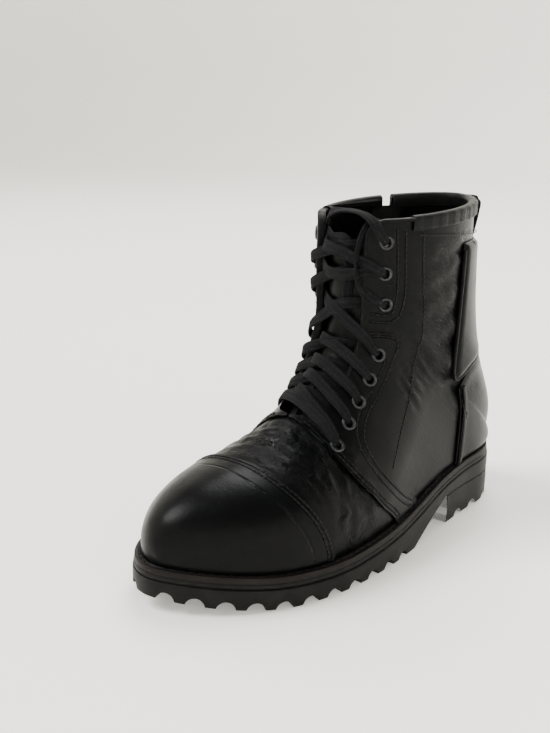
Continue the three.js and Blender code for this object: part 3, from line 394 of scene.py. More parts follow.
def nearest_on(line, points):
    """Distance from each point to a polyline, and the share of its length there."""
    best = np.full(len(points), 1e9)
    share = np.zeros(len(points))
    for i in range(len(line) - 1):
        run = line[i + 1] - line[i]
        t = np.clip((points - line[i]) @ run / max(run @ run, 1e-9), 0, 1)
        distance = np.linalg.norm(points - line[i] - t[:, None] * run, axis=1)
        nearer = distance < best
        best[nearer] = distance[nearer]
        share[nearer] = (i + t[nearer]) / (len(line) - 1)
    return best, share


def relief(points):
    """Height of the creases and folds over the last, and how wrinkled the leather is."""
    height = np.zeros(len(points))
    wrinkled = np.zeros(len(points))
    x, y, z = points.T
    drift = np.sin(0.21 * y + 0.33 * z + 1.1) + 0.6 * np.sin(0.47 * x - 0.39 * y) + 0.4 * np.sin(0.83 * z)
    strength = 0.75 + 0.35 * np.sin(0.31 * x + 0.17 * z) * np.sin(0.27 * y + 0.8)
    points = points + 1.1 * np.stack([0.3 * drift, drift, -drift], -1)
    for line, depth, width in CREASES:
        low = line.min(0) - 5 * width
        high = line.max(0) + 5 * width
        near = np.nonzero(((points > low) & (points < high)).all(1))[0]
        if not len(near):
            continue
        distance, share = nearest_on(line, points[near])
        fade = np.sin(np.pi * np.clip(share, 0.02, 0.98)) ** 0.7
        trough = np.exp(-(distance / width) ** 2)
        ridge = np.exp(-((distance - 2.1 * width) / (1.15 * width)) ** 2)
        height[near] += depth * fade * strength[near] * (0.42 * ridge - trough)
        wrinkled[near] = np.maximum(wrinkled[near], fade * np.exp(-(distance / (3.2 * width)) ** 2))
    return height, wrinkled


# Meshes from grids


def only(obj):
    """Selects one object alone and makes it active."""
    bpy.ops.object.select_all(action="DESELECT")
    obj.select_set(True)
    bpy.context.view_layer.objects.active = obj


def joined(name, pieces):
    """Several objects joined into the first of them."""
    bpy.ops.object.select_all(action="DESELECT")
    for piece in pieces:
        piece.select_set(True)
    bpy.context.view_layer.objects.active = pieces[0]
    bpy.ops.object.join()
    obj = bpy.context.object
    obj.name = name
    obj.data.name = name
    return obj


def read_points(obj):
    values = np.empty(3 * len(obj.data.vertices))
    obj.data.vertices.foreach_get("co", values)
    return values.reshape(-1, 3)


def place_points(obj, points):
    """Puts an object's vertices at points in millimetres."""
    obj.data.vertices.foreach_set("co", (np.asarray(points) * MM).ravel())
    obj.data.update()


def grid(name, columns, rows):
    """A primitive grid that is bent into a piece afterwards."""
    bpy.ops.object.select_all(action="DESELECT")
    bpy.ops.mesh.primitive_grid_add(x_subdivisions=columns, y_subdivisions=rows, size=1)
    obj = bpy.context.object
    obj.name = name
    obj.data.name = name
    return obj


def grid_shares(obj):
    """Where each vertex of a primitive grid lies, from 0 to 1 both ways."""
    points = read_points(obj)
    return points[:, 0] + 0.5, points[:, 1] + 0.5


def face_corners(obj):
    count = len(obj.data.polygons)
    corners = np.empty(4 * count, int)
    obj.data.polygons.foreach_get("vertices", corners)
    return corners.reshape(-1, 4)


def delete_faces(obj, mask):
    """Deletes the faces that mask picks out."""
    only(obj)
    bpy.context.tool_settings.mesh_select_mode = (False, False, True)
    obj.data.vertices.foreach_set("select", np.zeros(len(obj.data.vertices), bool))
    obj.data.edges.foreach_set("select", np.zeros(len(obj.data.edges), bool))
    obj.data.polygons.foreach_set("select", mask)
    bpy.ops.object.mode_set(mode="EDIT")
    bpy.ops.mesh.delete(type="FACE")
    bpy.ops.object.mode_set(mode="OBJECT")


def store(obj, name, values):
    """A number for each vertex that the materials read."""
    layer = obj.data.attributes.new(name, "FLOAT", "POINT")
    layer.data.foreach_set("value", np.asarray(values, float))


def mark_trim(obj, wrinkled):
    """A trim is wrinkled all over alike, and lies clear of cut edges and seams."""
    for name, value in (("edge", 9.0), ("seam", 99.0), ("wrinkled", wrinkled)):
        store(obj, name, np.full(len(obj.data.vertices), value))


def set_map(obj, u, v):
    """The piece's own UV map, from a pair of numbers for each vertex."""
    corners = np.empty(len(obj.data.loops), int)
    obj.data.loops.foreach_get("vertex_index", corners)
    if not obj.data.uv_layers:
        obj.data.uv_layers.new(name="surface")
    flat = np.stack([u[corners], v[corners]], -1).ravel()
    obj.data.uv_layers[0].data.foreach_set("uv", flat)


def smooth(obj, angle):
    only(obj)
    bpy.ops.object.shade_smooth_by_angle(angle=math.radians(angle))


def thicken(obj, thickness, inner_slot=0):
    """A wall inwards from the sheet."""
    only(obj)
    wall = obj.modifiers.new("wall", "SOLIDIFY")
    wall.thickness = thickness * MM
    wall.offset = -1
    wall.use_even_offset = False
    wall.material_offset = inner_slot
    bpy.ops.object.modifier_apply(modifier=wall.name)


def ease(obj, reach, rounds):
    """Smooths a sheet, more the further a point lies inside its edge."""
    only(obj)
    held = obj.vertex_groups.new(name="inner")
    for point, value in zip(obj.data.vertices, obj.data.attributes["edge"].data):
        on_seam = abs(point.co.x) < 1e-6
        held.add([point.index], 0.0 if on_seam else min(value.value / reach, 1.0), "REPLACE")
    calm = obj.modifiers.new("ease", "SMOOTH")
    calm.factor = 0.5
    calm.iterations = rounds
    calm.vertex_group = "inner"
    bpy.ops.object.modifier_apply(modifier=calm.name)
    obj.vertex_groups.clear()


def outward(obj):
    """Merges doubled points and turns the faces of a closed shape outwards."""
    only(obj)
    bpy.ops.object.mode_set(mode="EDIT")
    bpy.ops.mesh.select_all(action="SELECT")
    bpy.ops.mesh.remove_doubles(threshold=1e-6)
    bpy.ops.mesh.normals_make_consistent(inside=False)
    bpy.ops.object.mode_set(mode="OBJECT")


def sheet(name, sections, turns, step, field, lift_of, seams, folds=1.0):
    """Leather on the last between two sections and two turns, cut to where field is above
    zero. lift_of gives its height over the last from field's distance to the edge."""
    across = run_lengths(last_point(np.mean(sections), np.linspace(*turns, 60)))[-1]
    along = run_lengths(last_point(np.linspace(*sections, 60), np.mean(turns)))[-1]
    obj = grid(name, int(along / step) + 2, int(across / step) + 2)

    def places():
        u, v = grid_shares(obj)
        return sections[0] + (sections[1] - sections[0]) * u, turns[0] + (turns[1] - turns[0]) * v

    def reach(section, turn):
        return field(last_point(section, turn), section, turn)

    section, turn = places()
    distance = reach(section, turn)
    centre = distance[face_corners(obj)].mean(1)
    if (centre <= 0).any():
        delete_faces(obj, centre <= 0)
        section, turn = places()
        corners = face_corners(obj)
        edges = np.sort(np.stack([corners, np.roll(corners, -1, 1)], -1).reshape(-1, 2), 1)
        pairs, counts = np.unique(edges, axis=0, return_counts=True)
        rim = np.unique(pairs[counts == 1])
        rim = rim[np.abs(reach(section[rim], turn[rim])) < 1.6 * step]
        for _ in range(4):
            s, t = section[rim], turn[rim]
            value = reach(s, t)
            point = last_point(s, t)
            ds, dt = 0.02, 0.004
            slope_s = (reach(s + ds, t) - value) / ds
            slope_t = (reach(s, t + dt) - value) / dt
            length_s = np.linalg.norm(last_point(s + ds, t) - point, axis=1) / ds + 1e-6
            length_t = np.linalg.norm(last_point(s, t + dt) - point, axis=1) / dt + 1e-6
            total = (slope_s / length_s) ** 2 + (slope_t / length_t) ** 2 + 1e-6
            move_s = -value * slope_s / length_s ** 2 / total
            move_t = -value * slope_t / length_t ** 2 / total
            section[rim] += np.clip(move_s, -step / length_s, step / length_s)
            turn[rim] += np.clip(move_t, -step / length_t, step / length_t)
            section[rim] = np.clip(section[rim], *sections)
            turn[rim] = np.clip(turn[rim], *turns)
    base = last_point(section, turn)
    distance = np.maximum(field(base, section, turn), 0)
    rise, wrinkled = relief(base)
    wrinkled = wrinkled * folds
    points = base + last_normal(section, turn) * (lift_of(distance) + rise * folds)[:, None]
    foot = (np.abs(turn) > 1 - 1e-5) & (section <= HEEL_BACK_ROW)
    points[foot, 2] -= 0.7
    place_points(obj, points)
    facing_out = np.empty(3 * len(obj.data.vertices))
    obj.data.vertices.foreach_get("normal", facing_out)
    if (facing_out.reshape(-1, 3) * last_normal(section, turn)).sum(1).mean() < 0:
        obj.data.flip_normals()
    set_map(obj, section / TOP_ROW, turn)
    store(obj, "wrinkled", wrinkled)
    store(obj, "edge", distance)
    seam = np.full(len(base), 99.0)
    for line in seams:
        seam = np.minimum(seam, nearest_on(line, base)[0])
    store(obj, "seam", seam)
    return obj


# Outlines in side view, as shares of the sole length and the shaft height


def side_curve(rows):
    """A smooth run of side-view places in millimetres through a table's rows."""
    rows = np.array(rows, float) * (SOLE_LENGTH, SHAFT_HEIGHT)
    arc = run_lengths(rows)
    reads = np.linspace(0, arc[-1], 8 * (len(rows) - 1) + 1)
    return np.stack([through(arc, rows[:, 0])(reads), through(arc, rows[:, 1])(reads)], -1)


def inside_distance(points, outline):
    """Distance from the outline in side view, above zero inside it."""
    y, z = points[:, 1], points[:, 2]
    best = np.full(len(points), 1e9)
    inside = np.zeros(len(points), bool)
    for i in range(len(outline)):
        a = outline[i]
        b = outline[(i + 1) % len(outline)]
        run = b - a
        t = np.clip(((y - a[0]) * run[0] + (z - a[1]) * run[1]) / max(run @ run, 1e-9), 0, 1)
        best = np.minimum(best, np.hypot(y - a[0] - t * run[0], z - a[1] - t * run[1]))
        crosses = (a[1] > z) != (b[1] > z)
        with np.errstate(divide="ignore", invalid="ignore"):
            at = a[0] + (z - a[1]) / (run[1] if run[1] else 1e-9) * run[0]
        inside ^= crosses & (y < at)
    return np.where(inside, best, -best)


def beside(curve, distance):
    """The curve moved sideways in side view, to the left of its run for a positive distance."""
    run = unit(np.gradient(curve, axis=0))
    return curve + distance * np.stack([-run[:, 1], run[:, 0]], -1)


def on_surface(curve, side, lift):
    """Side-view places as points and normals on one side of the upper."""
    section, turn = locate(curve[:, 0], curve[:, 1])
    base = last_point(section, side * turn)
    normal = last_normal(section, side * turn)
    return base + normal * (relief(base)[0] + lift)[:, None], normal, base


THROAT_BASE_Y = -47
THROAT_BASE_Z = 0.428 * SHAFT_HEIGHT
THROAT_TOP_Y = -5
throat_run = unit(np.array([0, THROAT_TOP_Y - THROAT_BASE_Y, SHAFT_HEIGHT - THROAT_BASE_Z], float))
throat_out = np.array([0, -throat_run[2], throat_run[1]])


def throat_distance(points):
    """Distance from the lacing slot, above zero outside it."""
    start = np.array([THROAT_CENTRE, THROAT_BASE_Y, THROAT_BASE_Z])
    across = points[:, 0] - THROAT_CENTRE
    up = (points - start) @ throat_run
    out = (points - start) @ throat_out
    corner = 0.72 * THROAT_HALF
    dx = np.abs(across) - THROAT_HALF + corner
    dy = corner - up
    round_part = np.hypot(np.maximum(dx, 0), np.maximum(dy, 0)) + np.minimum(np.maximum(dx, dy), 0) - corner
    return np.where(out > -40, round_part, 99)


CAP_EDGE = side_curve([
    (-0.205, 0.02), (-0.212, 0.117), (-0.24, 0.223), (-0.263, 0.291), (-0.277, 0.335), (-0.284, 0.45),
])
FACING_FRONT = side_curve([
    (-0.185, 0.56), (-0.172, 0.485), (-0.155, 0.4), (-0.145, 0.34), (-0.12, 0.268), (-0.075, 0.19),
    (-0.02, 0.12), (0.005, 0.02),
])
FACING_REAR = side_curve([
    (0.085, 0.02), (0.076, 0.126), (0.01, 0.194), (-0.044, 0.267), (-0.066, 0.345), (-0.041, 0.417),
    (-0.006, 0.466), (0.027, 0.53), (0.053, 0.59), (0.055, 0.625), (0.03, 0.644), (-0.02, 0.648),
    (-0.12, 0.648),
])
UPPER_FACING = side_curve([
    (-0.1, 0.68), (0, 0.672), (0.03, 0.668), (0.054, 0.684), (0.063, 0.728), (0.063, 0.79),
    (0.06, 0.874), (0.056, 1.0), (0.054, 1.1),
])
COUNTER_FRONT = side_curve([
    (0.248, 0.02), (0.25, 0.17), (0.254, 0.247), (0.2585, 0.31), (0.258, 0.37), (0.2485, 0.425),
])
COUNTER_TOP = side_curve([
    (0.2485, 0.425), (0.262, 0.45), (0.285, 0.481), (0.33, 0.496), (0.38, 0.503), (0.6, 0.503),
])
PAD_FRONT = side_curve([
    (0.23, 0.885), (0.23, 0.8), (0.227, 0.706), (0.223, 0.607), (0.2195, 0.528), (0.2225, 0.475),
    (0.232, 0.458), (0.252, 0.466), (0.285, 0.4873), (0.33, 0.5023), (0.38, 0.5093), (0.6, 0.5093),
])
SIDE_SEAM = side_curve([
    (0.09, 0.955), (0.099, 0.8), (0.112, 0.66), (0.108, 0.6), (0.09, 0.54), (0.07, 0.45),
    (0.03, 0.36), (-0.015, 0.27),
])
cap_outline = np.vstack([CAP_EDGE, [(-200, 100), (-200, 0)]])
facing_outline = np.vstack([FACING_FRONT, FACING_REAR, [(-90, 140)]])
upper_facing_outline = np.vstack([UPPER_FACING, [(-60, 230), (-60, 140)]])
counter_outline = np.vstack([COUNTER_FRONT, COUNTER_TOP[1:], [(200, 0)]])
PAD_TOP = 0.885 * SHAFT_HEIGHT
pad_outline = np.vstack([PAD_FRONT, [(200, PAD_TOP)]])


def zip_line(z):
    """The zip's y at a height: it leans a little to the back."""
    return 70 + 12 * (z - ZIP_BOTTOM) / (ZIP_TOP - ZIP_BOTTOM)


def zip_distance(points, half):
    """Distance from the zip's slot on the medial side, above zero outside it."""
    side = np.abs(points[:, 1] - zip_line(points[:, 2])) - half
    gap = np.maximum(side, ZIP_BOTTOM - points[:, 2])
    return np.where(points[:, 0] < 0, gap, 99)


EYELET_ROWS = [
    (0.908, 0), (0.82, 0), (0.73, 0), (0.583, 0), (0.517, 0.02), (0.46, 0.05), (0.408, 0.12), (0.359, 0.25),
]
EYELET_INSET = 8.5
EYELET_HOLE = 2.6  # radius


def beside_throat(spread, z, side):
    """The place at a height where the upper's front is a distance from the throat's middle."""
    low, high = -SOLE_LENGTH / 4, SOLE_LENGTH / 6
    for _ in range(40):
        y = (low + high) / 2
        section, turn = locate(np.array([y]), np.array([z]))
        x = last_point(section, side * turn)[0, 0]
        if (x - THROAT_CENTRE) * side < spread:
            low = y
        else:
            high = y
    return locate(np.array([high]), np.array([z]))


class Eyelet:
    def __init__(self, row, side):
        height, flare = row
        spread = THROAT_HALF * (1 + flare) + EYELET_INSET
        section, turn = beside_throat(spread, height * SHAFT_HEIGHT, side)
        self.section = section[0]
        self.turn = side * turn[0]
        self.centre = last_point(section, side * turn)[0]
        self.normal = last_normal(section, side * turn)[0]
        self.side = side


eyelets = {side: [Eyelet(row, side) for row in EYELET_ROWS] for side in (1, -1)}


def eyelet_distance(points):
    """Distance from the nearest eyelet's hole, above zero outside it."""
    best = np.full(len(points), 99.0)
    for side in (1, -1):
        for eyelet in eyelets[side]:
            best = np.minimum(best, np.linalg.norm(points - eyelet.centre, axis=1) - EYELET_HOLE)
    return best


# Materials


def node(tree, kind, values=None, links=None, **settings):
    """A shader node with its inputs' values, the sockets linked to it and its settings."""
    made = tree.nodes.new(kind)
    for name, value in settings.items():
        setattr(made, name, value)
    for name, value in (values or {}).items():
        made.inputs[name].default_value = value
    for name, socket in (links or {}).items():
        tree.links.new(socket, made.inputs[name])
    return made


def maths(tree, operation, *terms, clamp=False):
    made = tree.nodes.new("ShaderNodeMath")
    made.operation = operation
    made.use_clamp = clamp
    for i, term in enumerate(terms):
        if isinstance(term, (int, float)):
            made.inputs[i].default_value = term
        else:
            tree.links.new(term, made.inputs[i])
    return made.outputs[0]


def ramp(tree, value, low, high, to_low=0.0, to_high=1.0):
    """A smooth step from to_low to to_high as the value goes from low to high."""
    made = node(tree, "ShaderNodeMapRange", {1: low, 2: high, 3: to_low, 4: to_high}, {0: value})
    made.interpolation_type = "SMOOTHSTEP"
    return made.outputs[0]


def group(name, inputs, outputs):
    """A node group whose inputs have a name and a value, and whose outputs have a name."""
    tree = bpy.data.node_groups.new(name, "ShaderNodeTree")
    for label, value in inputs.items():
        socket = tree.interface.new_socket(label, in_out="INPUT", socket_type="NodeSocketFloat")
        socket.default_value = value
    for label in outputs:
        tree.interface.new_socket(label, in_out="OUTPUT", socket_type="NodeSocketFloat")
    return tree, tree.nodes.new("NodeGroupInput").outputs, tree.nodes.new("NodeGroupOutput").inputs


def noise(tree, vector, scale, detail, roughness=0.55):
    values = {"Scale": scale, "Detail": detail, "Roughness": roughness}
    return node(tree, "ShaderNodeTexNoise", values, {"Vector": vector}).outputs["Fac"]


def voronoi(tree, vector, scale, feature):
    made = node(tree, "ShaderNodeTexVoronoi", {"Scale": scale}, {"Vector": vector}, feature=feature)
    return made.outputs["Distance"]


def scaled(tree, vector, scale):
    return node(tree, "ShaderNodeMapping", {"Scale": scale}, {"Vector": vector}).outputs["Vector"]


def leather_group():
    """Grain, fine wrinkles, needle seams with painted shade darkening their grooves, and rubbed places of
    smooth leather.
    """
    inputs = {"Grain": 1.0, "Wrinkles": 1.0, "Scuffs": 1.0}
    tree, given, result = group("leather_surface", inputs, ("Tone", "Roughness", "Height"))
    place = node(tree, "ShaderNodeTexCoord")
    solid = place.outputs["Object"]
    flat = place.outputs["UV"]
    pores = voronoi(tree, solid, 1100, "SMOOTH_F1")
    fine = noise(tree, solid, 700, 3)
    grain = maths(tree, "ADD", maths(tree, "MULTIPLY", pores, 0.6), maths(tree, "MULTIPLY", fine, 0.5))
    wrinkle_mask = node(tree, "ShaderNodeAttribute", attribute_name="wrinkled").outputs["Fac"]
    warp = noise(tree, solid, 60, 2)
    long_lines = scaled(tree, flat, (95, 9, 1))
    bent = node(tree, "ShaderNodeVectorMath", {1: (1.2, 1.2, 0)}, {0: warp}, operation="MULTIPLY").outputs[0]
    moved = node(tree, "ShaderNodeVectorMath", None, {0: long_lines, 1: bent}, operation="ADD").outputs[0]
    lines = noise(tree, moved, 1.0, 5, 0.62)
    folded = maths(tree, "ABSOLUTE", maths(tree, "SUBTRACT", lines, 0.5))
    furrows = ramp(tree, folded, 0.0, 0.075)
    cells = ramp(tree, voronoi(tree, solid, 170, "DISTANCE_TO_EDGE"), 0.0, 0.12)
    mask = maths(tree, "ADD", maths(tree, "MULTIPLY", wrinkle_mask, 0.9), 0.1)
    mask = maths(tree, "MULTIPLY", mask, given["Wrinkles"])
    wrinkles = maths(tree, "ADD", furrows, maths(tree, "MULTIPLY", cells, 0.35))
    wrinkles = maths(tree, "MULTIPLY", wrinkles, mask)
    seam = node(tree, "ShaderNodeAttribute", attribute_name="seam").outputs["Fac"]
    groove = ramp(tree, seam, 0.15, 1.1)
    broad = noise(tree, solid, 28, 4)
    rub = ramp(tree, noise(tree, solid, 55, 6, 0.7), 0.56, 0.74)
    scuff = maths(tree, "MULTIPLY", rub, given["Scuffs"])
    height = maths(tree, "MULTIPLY", grain, maths(tree, "MULTIPLY", given["Grain"], 0.16))
    height = maths(tree, "ADD", height, maths(tree, "MULTIPLY", wrinkles, 0.55))
    height = maths(tree, "ADD", height, maths(tree, "MULTIPLY", groove, 1.1))
    tree.links.new(height, result["Height"])
    tone = maths(tree, "ADD", maths(tree, "MULTIPLY", broad, 0.5), maths(tree, "MULTIPLY", scuff, 0.3))
    # Painted shade: the tone is darkened in the seam grooves, where the bump sinks and shade falls.
    dark = maths(tree, "MULTIPLY", maths(tree, "SUBTRACT", 1.0, groove), 0.5)
    tree.links.new(maths(tree, "SUBTRACT", tone, dark, clamp=True), result["Tone"])
    rough = maths(tree, "ADD", maths(tree, "MULTIPLY", broad, 0.16), maths(tree, "MULTIPLY", scuff, 0.12))
    rough = maths(tree, "ADD", rough, maths(tree, "MULTIPLY", wrinkle_mask, -0.02))
    tree.links.new(rough, result["Roughness"])
    return tree


def weave_group():
    """Ribbed cloth: threads along and across the piece's own map, with painted light on the rib crests and
    painted shade in the hollows between them.
    """
    tree, given, result = group("woven_cloth", {"Ribs": 6.0, "Picks": 400.0}, ("Tone", "Height"))
    flat = node(tree, "ShaderNodeTexCoord").outputs["UV"]
    split = node(tree, "ShaderNodeSeparateXYZ", None, {0: flat}).outputs

    def waves(along, count):
        turns = maths(tree, "MULTIPLY", count, 2 * math.pi)
        return maths(tree, "SINE", maths(tree, "MULTIPLY", along, turns))

    ribs = waves(split[0], given["Ribs"])
    picks = waves(split[1], given["Picks"])
    fuzz = noise(tree, node(tree, "ShaderNodeTexCoord").outputs["Object"], 900, 3)
    height = maths(tree, "ADD", maths(tree, "MULTIPLY", ribs, 0.3), maths(tree, "MULTIPLY", picks, 0.14))
    height = maths(tree, "ADD", height, maths(tree, "MULTIPLY", fuzz, 0.35))
    tree.links.new(height, result["Height"])
    # The rib waves in the tone are painted light on the crests and painted shade in the hollows; the fuzz is
    # the cloth's own uneven tone.
    tone = maths(tree, "ADD", maths(tree, "MULTIPLY", ribs, 0.2), maths(tree, "MULTIPLY", fuzz, 0.8))
    tree.links.new(maths(tree, "ADD", tone, 0.0, clamp=True), result["Tone"])
    return tree


def dust_group():
    """Pale dust and rubbed places on rubber and on the welt, more of it low down."""
    tree, given, result = group("dust_and_rub", {"Amount": 0.5, "Scale": 60.0}, ("Mask", "Height"))
    solid = node(tree, "ShaderNodeTexCoord").outputs["Object"]
    links = {"Vector": solid, "Scale": given["Scale"]}
    patch = node(tree, "ShaderNodeTexNoise", {"Detail": 6, "Roughness": 0.7}, links).outputs["Fac"]
    high = node(tree, "ShaderNodeSeparateXYZ", None, {0: solid}).outputs[2]
    low = ramp(tree, high, 0.0, 0.03, 1.0, 0.35)
    amount = maths(tree, "MULTIPLY", low, given["Amount"])
    mask = maths(tree, "MULTIPLY", ramp(tree, patch, 0.42, 0.75), amount)
    tree.links.new(mask, result["Mask"])
    tree.links.new(noise(tree, solid, 900, 4, 0.7), result["Height"])
    return tree


LEATHER = leather_group()
WEAVE = weave_group()
DUST = dust_group()


def material(name, roughness=0.5, metallic=0.0):
    made = bpy.data.materials.new(name)
    made.use_nodes = True
    tree = made.node_tree
    shader = tree.nodes["Principled BSDF"]
    shader.inputs["Roughness"].default_value = roughness
    shader.inputs["Metallic"].default_value = metallic
    return made, tree, shader


def blend_colours(tree, shader, mask, dark, light):
    """Base colour from dark to light as the mask goes from 0 to 1."""
    mix = node(tree, "ShaderNodeMix", None, {0: mask}, data_type="RGBA")
    mix.inputs[6].default_value = (*dark, 1)
    mix.inputs[7].default_value = (*light, 1)
    tree.links.new(mix.outputs[2], shader.inputs["Base Color"])


def bump(tree, shader, height, distance):
    """Relief from a height between 0 and 1, of a distance in millimetres."""
    values = {"Distance": distance * MM, "Strength": 1.0}
    made = node(tree, "ShaderNodeBump", values, {"Height": height})
    tree.links.new(made.outputs["Normal"], shader.inputs["Normal"])


def leather_material(name, dark, light, roughness, wrinkles=1.0):
    made, tree, shader = material(name)
    surface = node(tree, "ShaderNodeGroup", node_tree=LEATHER)
    surface.inputs["Wrinkles"].default_value = wrinkles
    blend_colours(tree, shader, surface.outputs["Tone"], dark, light)
    rough = maths(tree, "ADD", surface.outputs["Roughness"], roughness)
    tree.links.new(rough, shader.inputs["Roughness"])
    bump(tree, shader, surface.outputs["Height"], 0.35)
    shader.inputs["Specular IOR Level"].default_value = 0.075
    return made


def cloth_material(name, dark, light, ribs, picks, distance=0.3, roughness=0.85):
    made, tree, shader = material(name, roughness)
    surface = node(tree, "ShaderNodeGroup", node_tree=WEAVE)
    surface.inputs["Ribs"].default_value = ribs
    surface.inputs["Picks"].default_value = picks
    blend_colours(tree, shader, surface.outputs["Tone"], dark, light)
    bump(tree, shader, surface.outputs["Height"], distance)
    shader.inputs["Specular IOR Level"].default_value = 0.12
    return made


def rubber_material(name, dark, light, amount, roughness):
    made, tree, shader = material(name, roughness)
    surface = node(tree, "ShaderNodeGroup", node_tree=DUST)
    surface.inputs["Amount"].default_value = amount
    blend_colours(tree, shader, surface.outputs["Mask"], dark, light)
    bump(tree, shader, surface.outputs["Height"], 0.12)
    shader.inputs["Specular IOR Level"].default_value = 0.12
    return made


def metal_material(name, colour, roughness):
    made, tree, shader = material(name, roughness, 0.95)
    solid = node(tree, "ShaderNodeTexCoord").outputs["Object"]
    worn = ramp(tree, noise(tree, solid, 400, 4), 0.35, 0.7)
    blend_colours(tree, shader, worn, [0.6 * c for c in colour], colour)
    tree.links.new(ramp(tree, worn, 0, 1, roughness + 0.15, roughness), shader.inputs["Roughness"])
    return made


BLACK = leather_material("black_leather", (0.0006, 0.00075, 0.0008), (0.0023, 0.0027, 0.0028), 0.225)
EDGE = leather_material(
    "folded_edge_leather", (0.0018, 0.0021, 0.0022), (0.007, 0.0078, 0.008), 0.28, wrinkles=0.3,
)
LINING = cloth_material("lining_cloth", (0.003, 0.005, 0.0055), (0.011, 0.0155, 0.0165), 160, 160)
LACE = cloth_material("lace_weave", (0.0013, 0.0014, 0.0017), (0.0072, 0.0075, 0.0086), 7, 55)
TAPE = cloth_material("tape_weave", (0.0015, 0.0016, 0.0018), (0.007, 0.0075, 0.008), 9, 60)
THREAD = cloth_material("waxed_thread", (0.004, 0.004, 0.0043), (0.015, 0.015, 0.016), 3, 3, 0.1, 0.38)
METAL = metal_material("gunmetal", (0.045, 0.047, 0.05), 0.32)
WELT = rubber_material("welt_leather", (0.0042, 0.0028, 0.0025), (0.02, 0.0135, 0.011), 0.7, 0.5)
RUBBER = rubber_material("sole_rubber", (0.0018, 0.0017, 0.0016), (0.0105, 0.0095, 0.0088), 0.6, 0.5)


def finish_piece(obj, *materials, stands_for=(), slot=None, angle=40):
    """Gives a piece its materials, shading, body and replaced nodes. slot is not used."""
    obj.data.materials.clear()
    for made in materials:
        obj.data.materials.append(made)
    smooth(obj, angle)
    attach(obj, "boot")
    if stands_for:
        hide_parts(*stands_for)


# Stitches


def points_and_faces(obj):
    """What a modelled shape is made of, for copies of it. The shape itself goes."""
    points = read_points(obj)
    faces = [list(face.vertices) for face in obj.data.polygons]
    bpy.data.objects.remove(obj)
    return points, faces


def piece_of(name, points, faces):
    """One piece from the points of many copies, in millimetres."""
    mesh = bpy.data.meshes.new(name)
    mesh.from_pydata((np.vstack(points) * MM).tolist(), [], faces)
    obj = bpy.data.objects.new(name, mesh)
    bpy.context.collection.objects.link(obj)
    outward(obj)
    return obj


def model_stitch():
    """One stitch, a short round thread sunk at both ends, lying along X."""
    bpy.ops.object.select_all(action="DESELECT")
    bpy.ops.mesh.primitive_cylinder_add(vertices=6, radius=0.5, depth=1, rotation=(0, math.pi / 2, 0))
    stitch = bpy.context.object
    bpy.ops.object.transform_apply(location=False, rotation=True, scale=False)
    bpy.ops.object.mode_set(mode="EDIT")
    bpy.ops.mesh.select_all(action="SELECT")
    bpy.ops.mesh.bevel(offset=0.22, segments=1, affect="EDGES")
    bpy.ops.object.mode_set(mode="OBJECT")
    return points_and_faces(stitch)


STITCH_POINTS, STITCH_FACES = model_stitch()


class Stitches:
    """Rows of stitches that are gathered into one piece."""

    def __init__(self, name):
        self.name = name
        self.points = []
        self.faces = []

    def row(self, line, normals, pitch, length, thick, lift):
        """Stitches of a length and a thickness along a line, a pitch apart and lifted off it."""
        arc = run_lengths(line)
        for place in np.arange(pitch / 2, arc[-1], pitch):
            at = np.array([np.interp(place, arc, line[:, k]) for k in range(3)])
            ahead = np.array([np.interp(place + 0.5, arc, line[:, k]) for k in range(3)])
            behind = np.array([np.interp(place - 0.5, arc, line[:, k]) for k in range(3)])
            out = unit(np.array([np.interp(place, arc, normals[:, k]) for k in range(3)]))
            along = unit(ahead - behind)
            across = np.cross(out, along)
            size = STITCH_POINTS * (length, thick, thick * 0.8)
            start = len(self.points) * len(STITCH_POINTS)
            placed = size[:, :1] * along + size[:, 1:2] * across + size[:, 2:] * out + at + out * lift
            self.points.append(placed)
            self.faces += [[start + i for i in face] for face in STITCH_FACES]

    def build(self, slot):
        obj = piece_of(self.name, self.points, self.faces)
        finish_piece(obj, THREAD, slot=slot, angle=60)


upper_stitches = Stitches("upper_stitches")


def stitch_line(curve, sides, lift, keep=None):
    """A row along a side-view curve on each named side, and its line for the seam's groove."""
    lines = []
    for side in sides:
        points, normals, base = on_surface(curve, side, lift)
        mask = np.ones(len(points), bool) if keep is None else keep(base)
        mask &= locate(curve[:, 0], curve[:, 1])[0] < COLLAR_ROW - 0.35
        if mask.sum() > 1:
            upper_stitches.row(points[mask], normals[mask], 3.2, 2.5, 0.9, 0.18)
            lines.append(base[mask])
    return lines


BOTH = (1, -1)


def clear_of_throat(base):
    return (throat_distance(base) > 2.5) & (base[:, 2] < SHAFT_HEIGHT)


def below_notch(base):
    """Clear of the notch between the lower and the upper facing too."""
    return clear_of_throat(base) & (base[:, 2] < 0.57 * SHAFT_HEIGHT)


def resampled(curve, count=160):
    arc = run_lengths(curve)
    reads = np.linspace(0, arc[-1], count)
    return np.stack([np.interp(reads, arc, curve[:, k]) for k in range(curve.shape[1])], -1)


def on_welt(curve):
    """The part of a side-view curve that lies above the welt and under the collar."""
    curve = resampled(curve)
    return curve[(curve[:, 1] > welt_top(curve[:, 0]) + 0.8) & (curve[:, 1] < SHAFT_HEIGHT)]


def over_ridge(curve):
    """A side-view curve carried from the medial edge over the ridge to the lateral edge."""
    section, turn = locate(curve[:, 0], curve[:, 1])
    top = np.argmax(turn < 0.03) if (turn < 0.03).any() else len(turn)
    section, turn = section[:top], turn[:top]
    section = np.concatenate([section, [section[-1]], section[::-1]])
    turn = np.concatenate([turn, [0.0], -turn[::-1]])
    base = last_point(section, turn)
    return base, last_normal(section, turn)


# Upper


COLLAR_STEP = 11.2
CORNER_RADIUS = 9


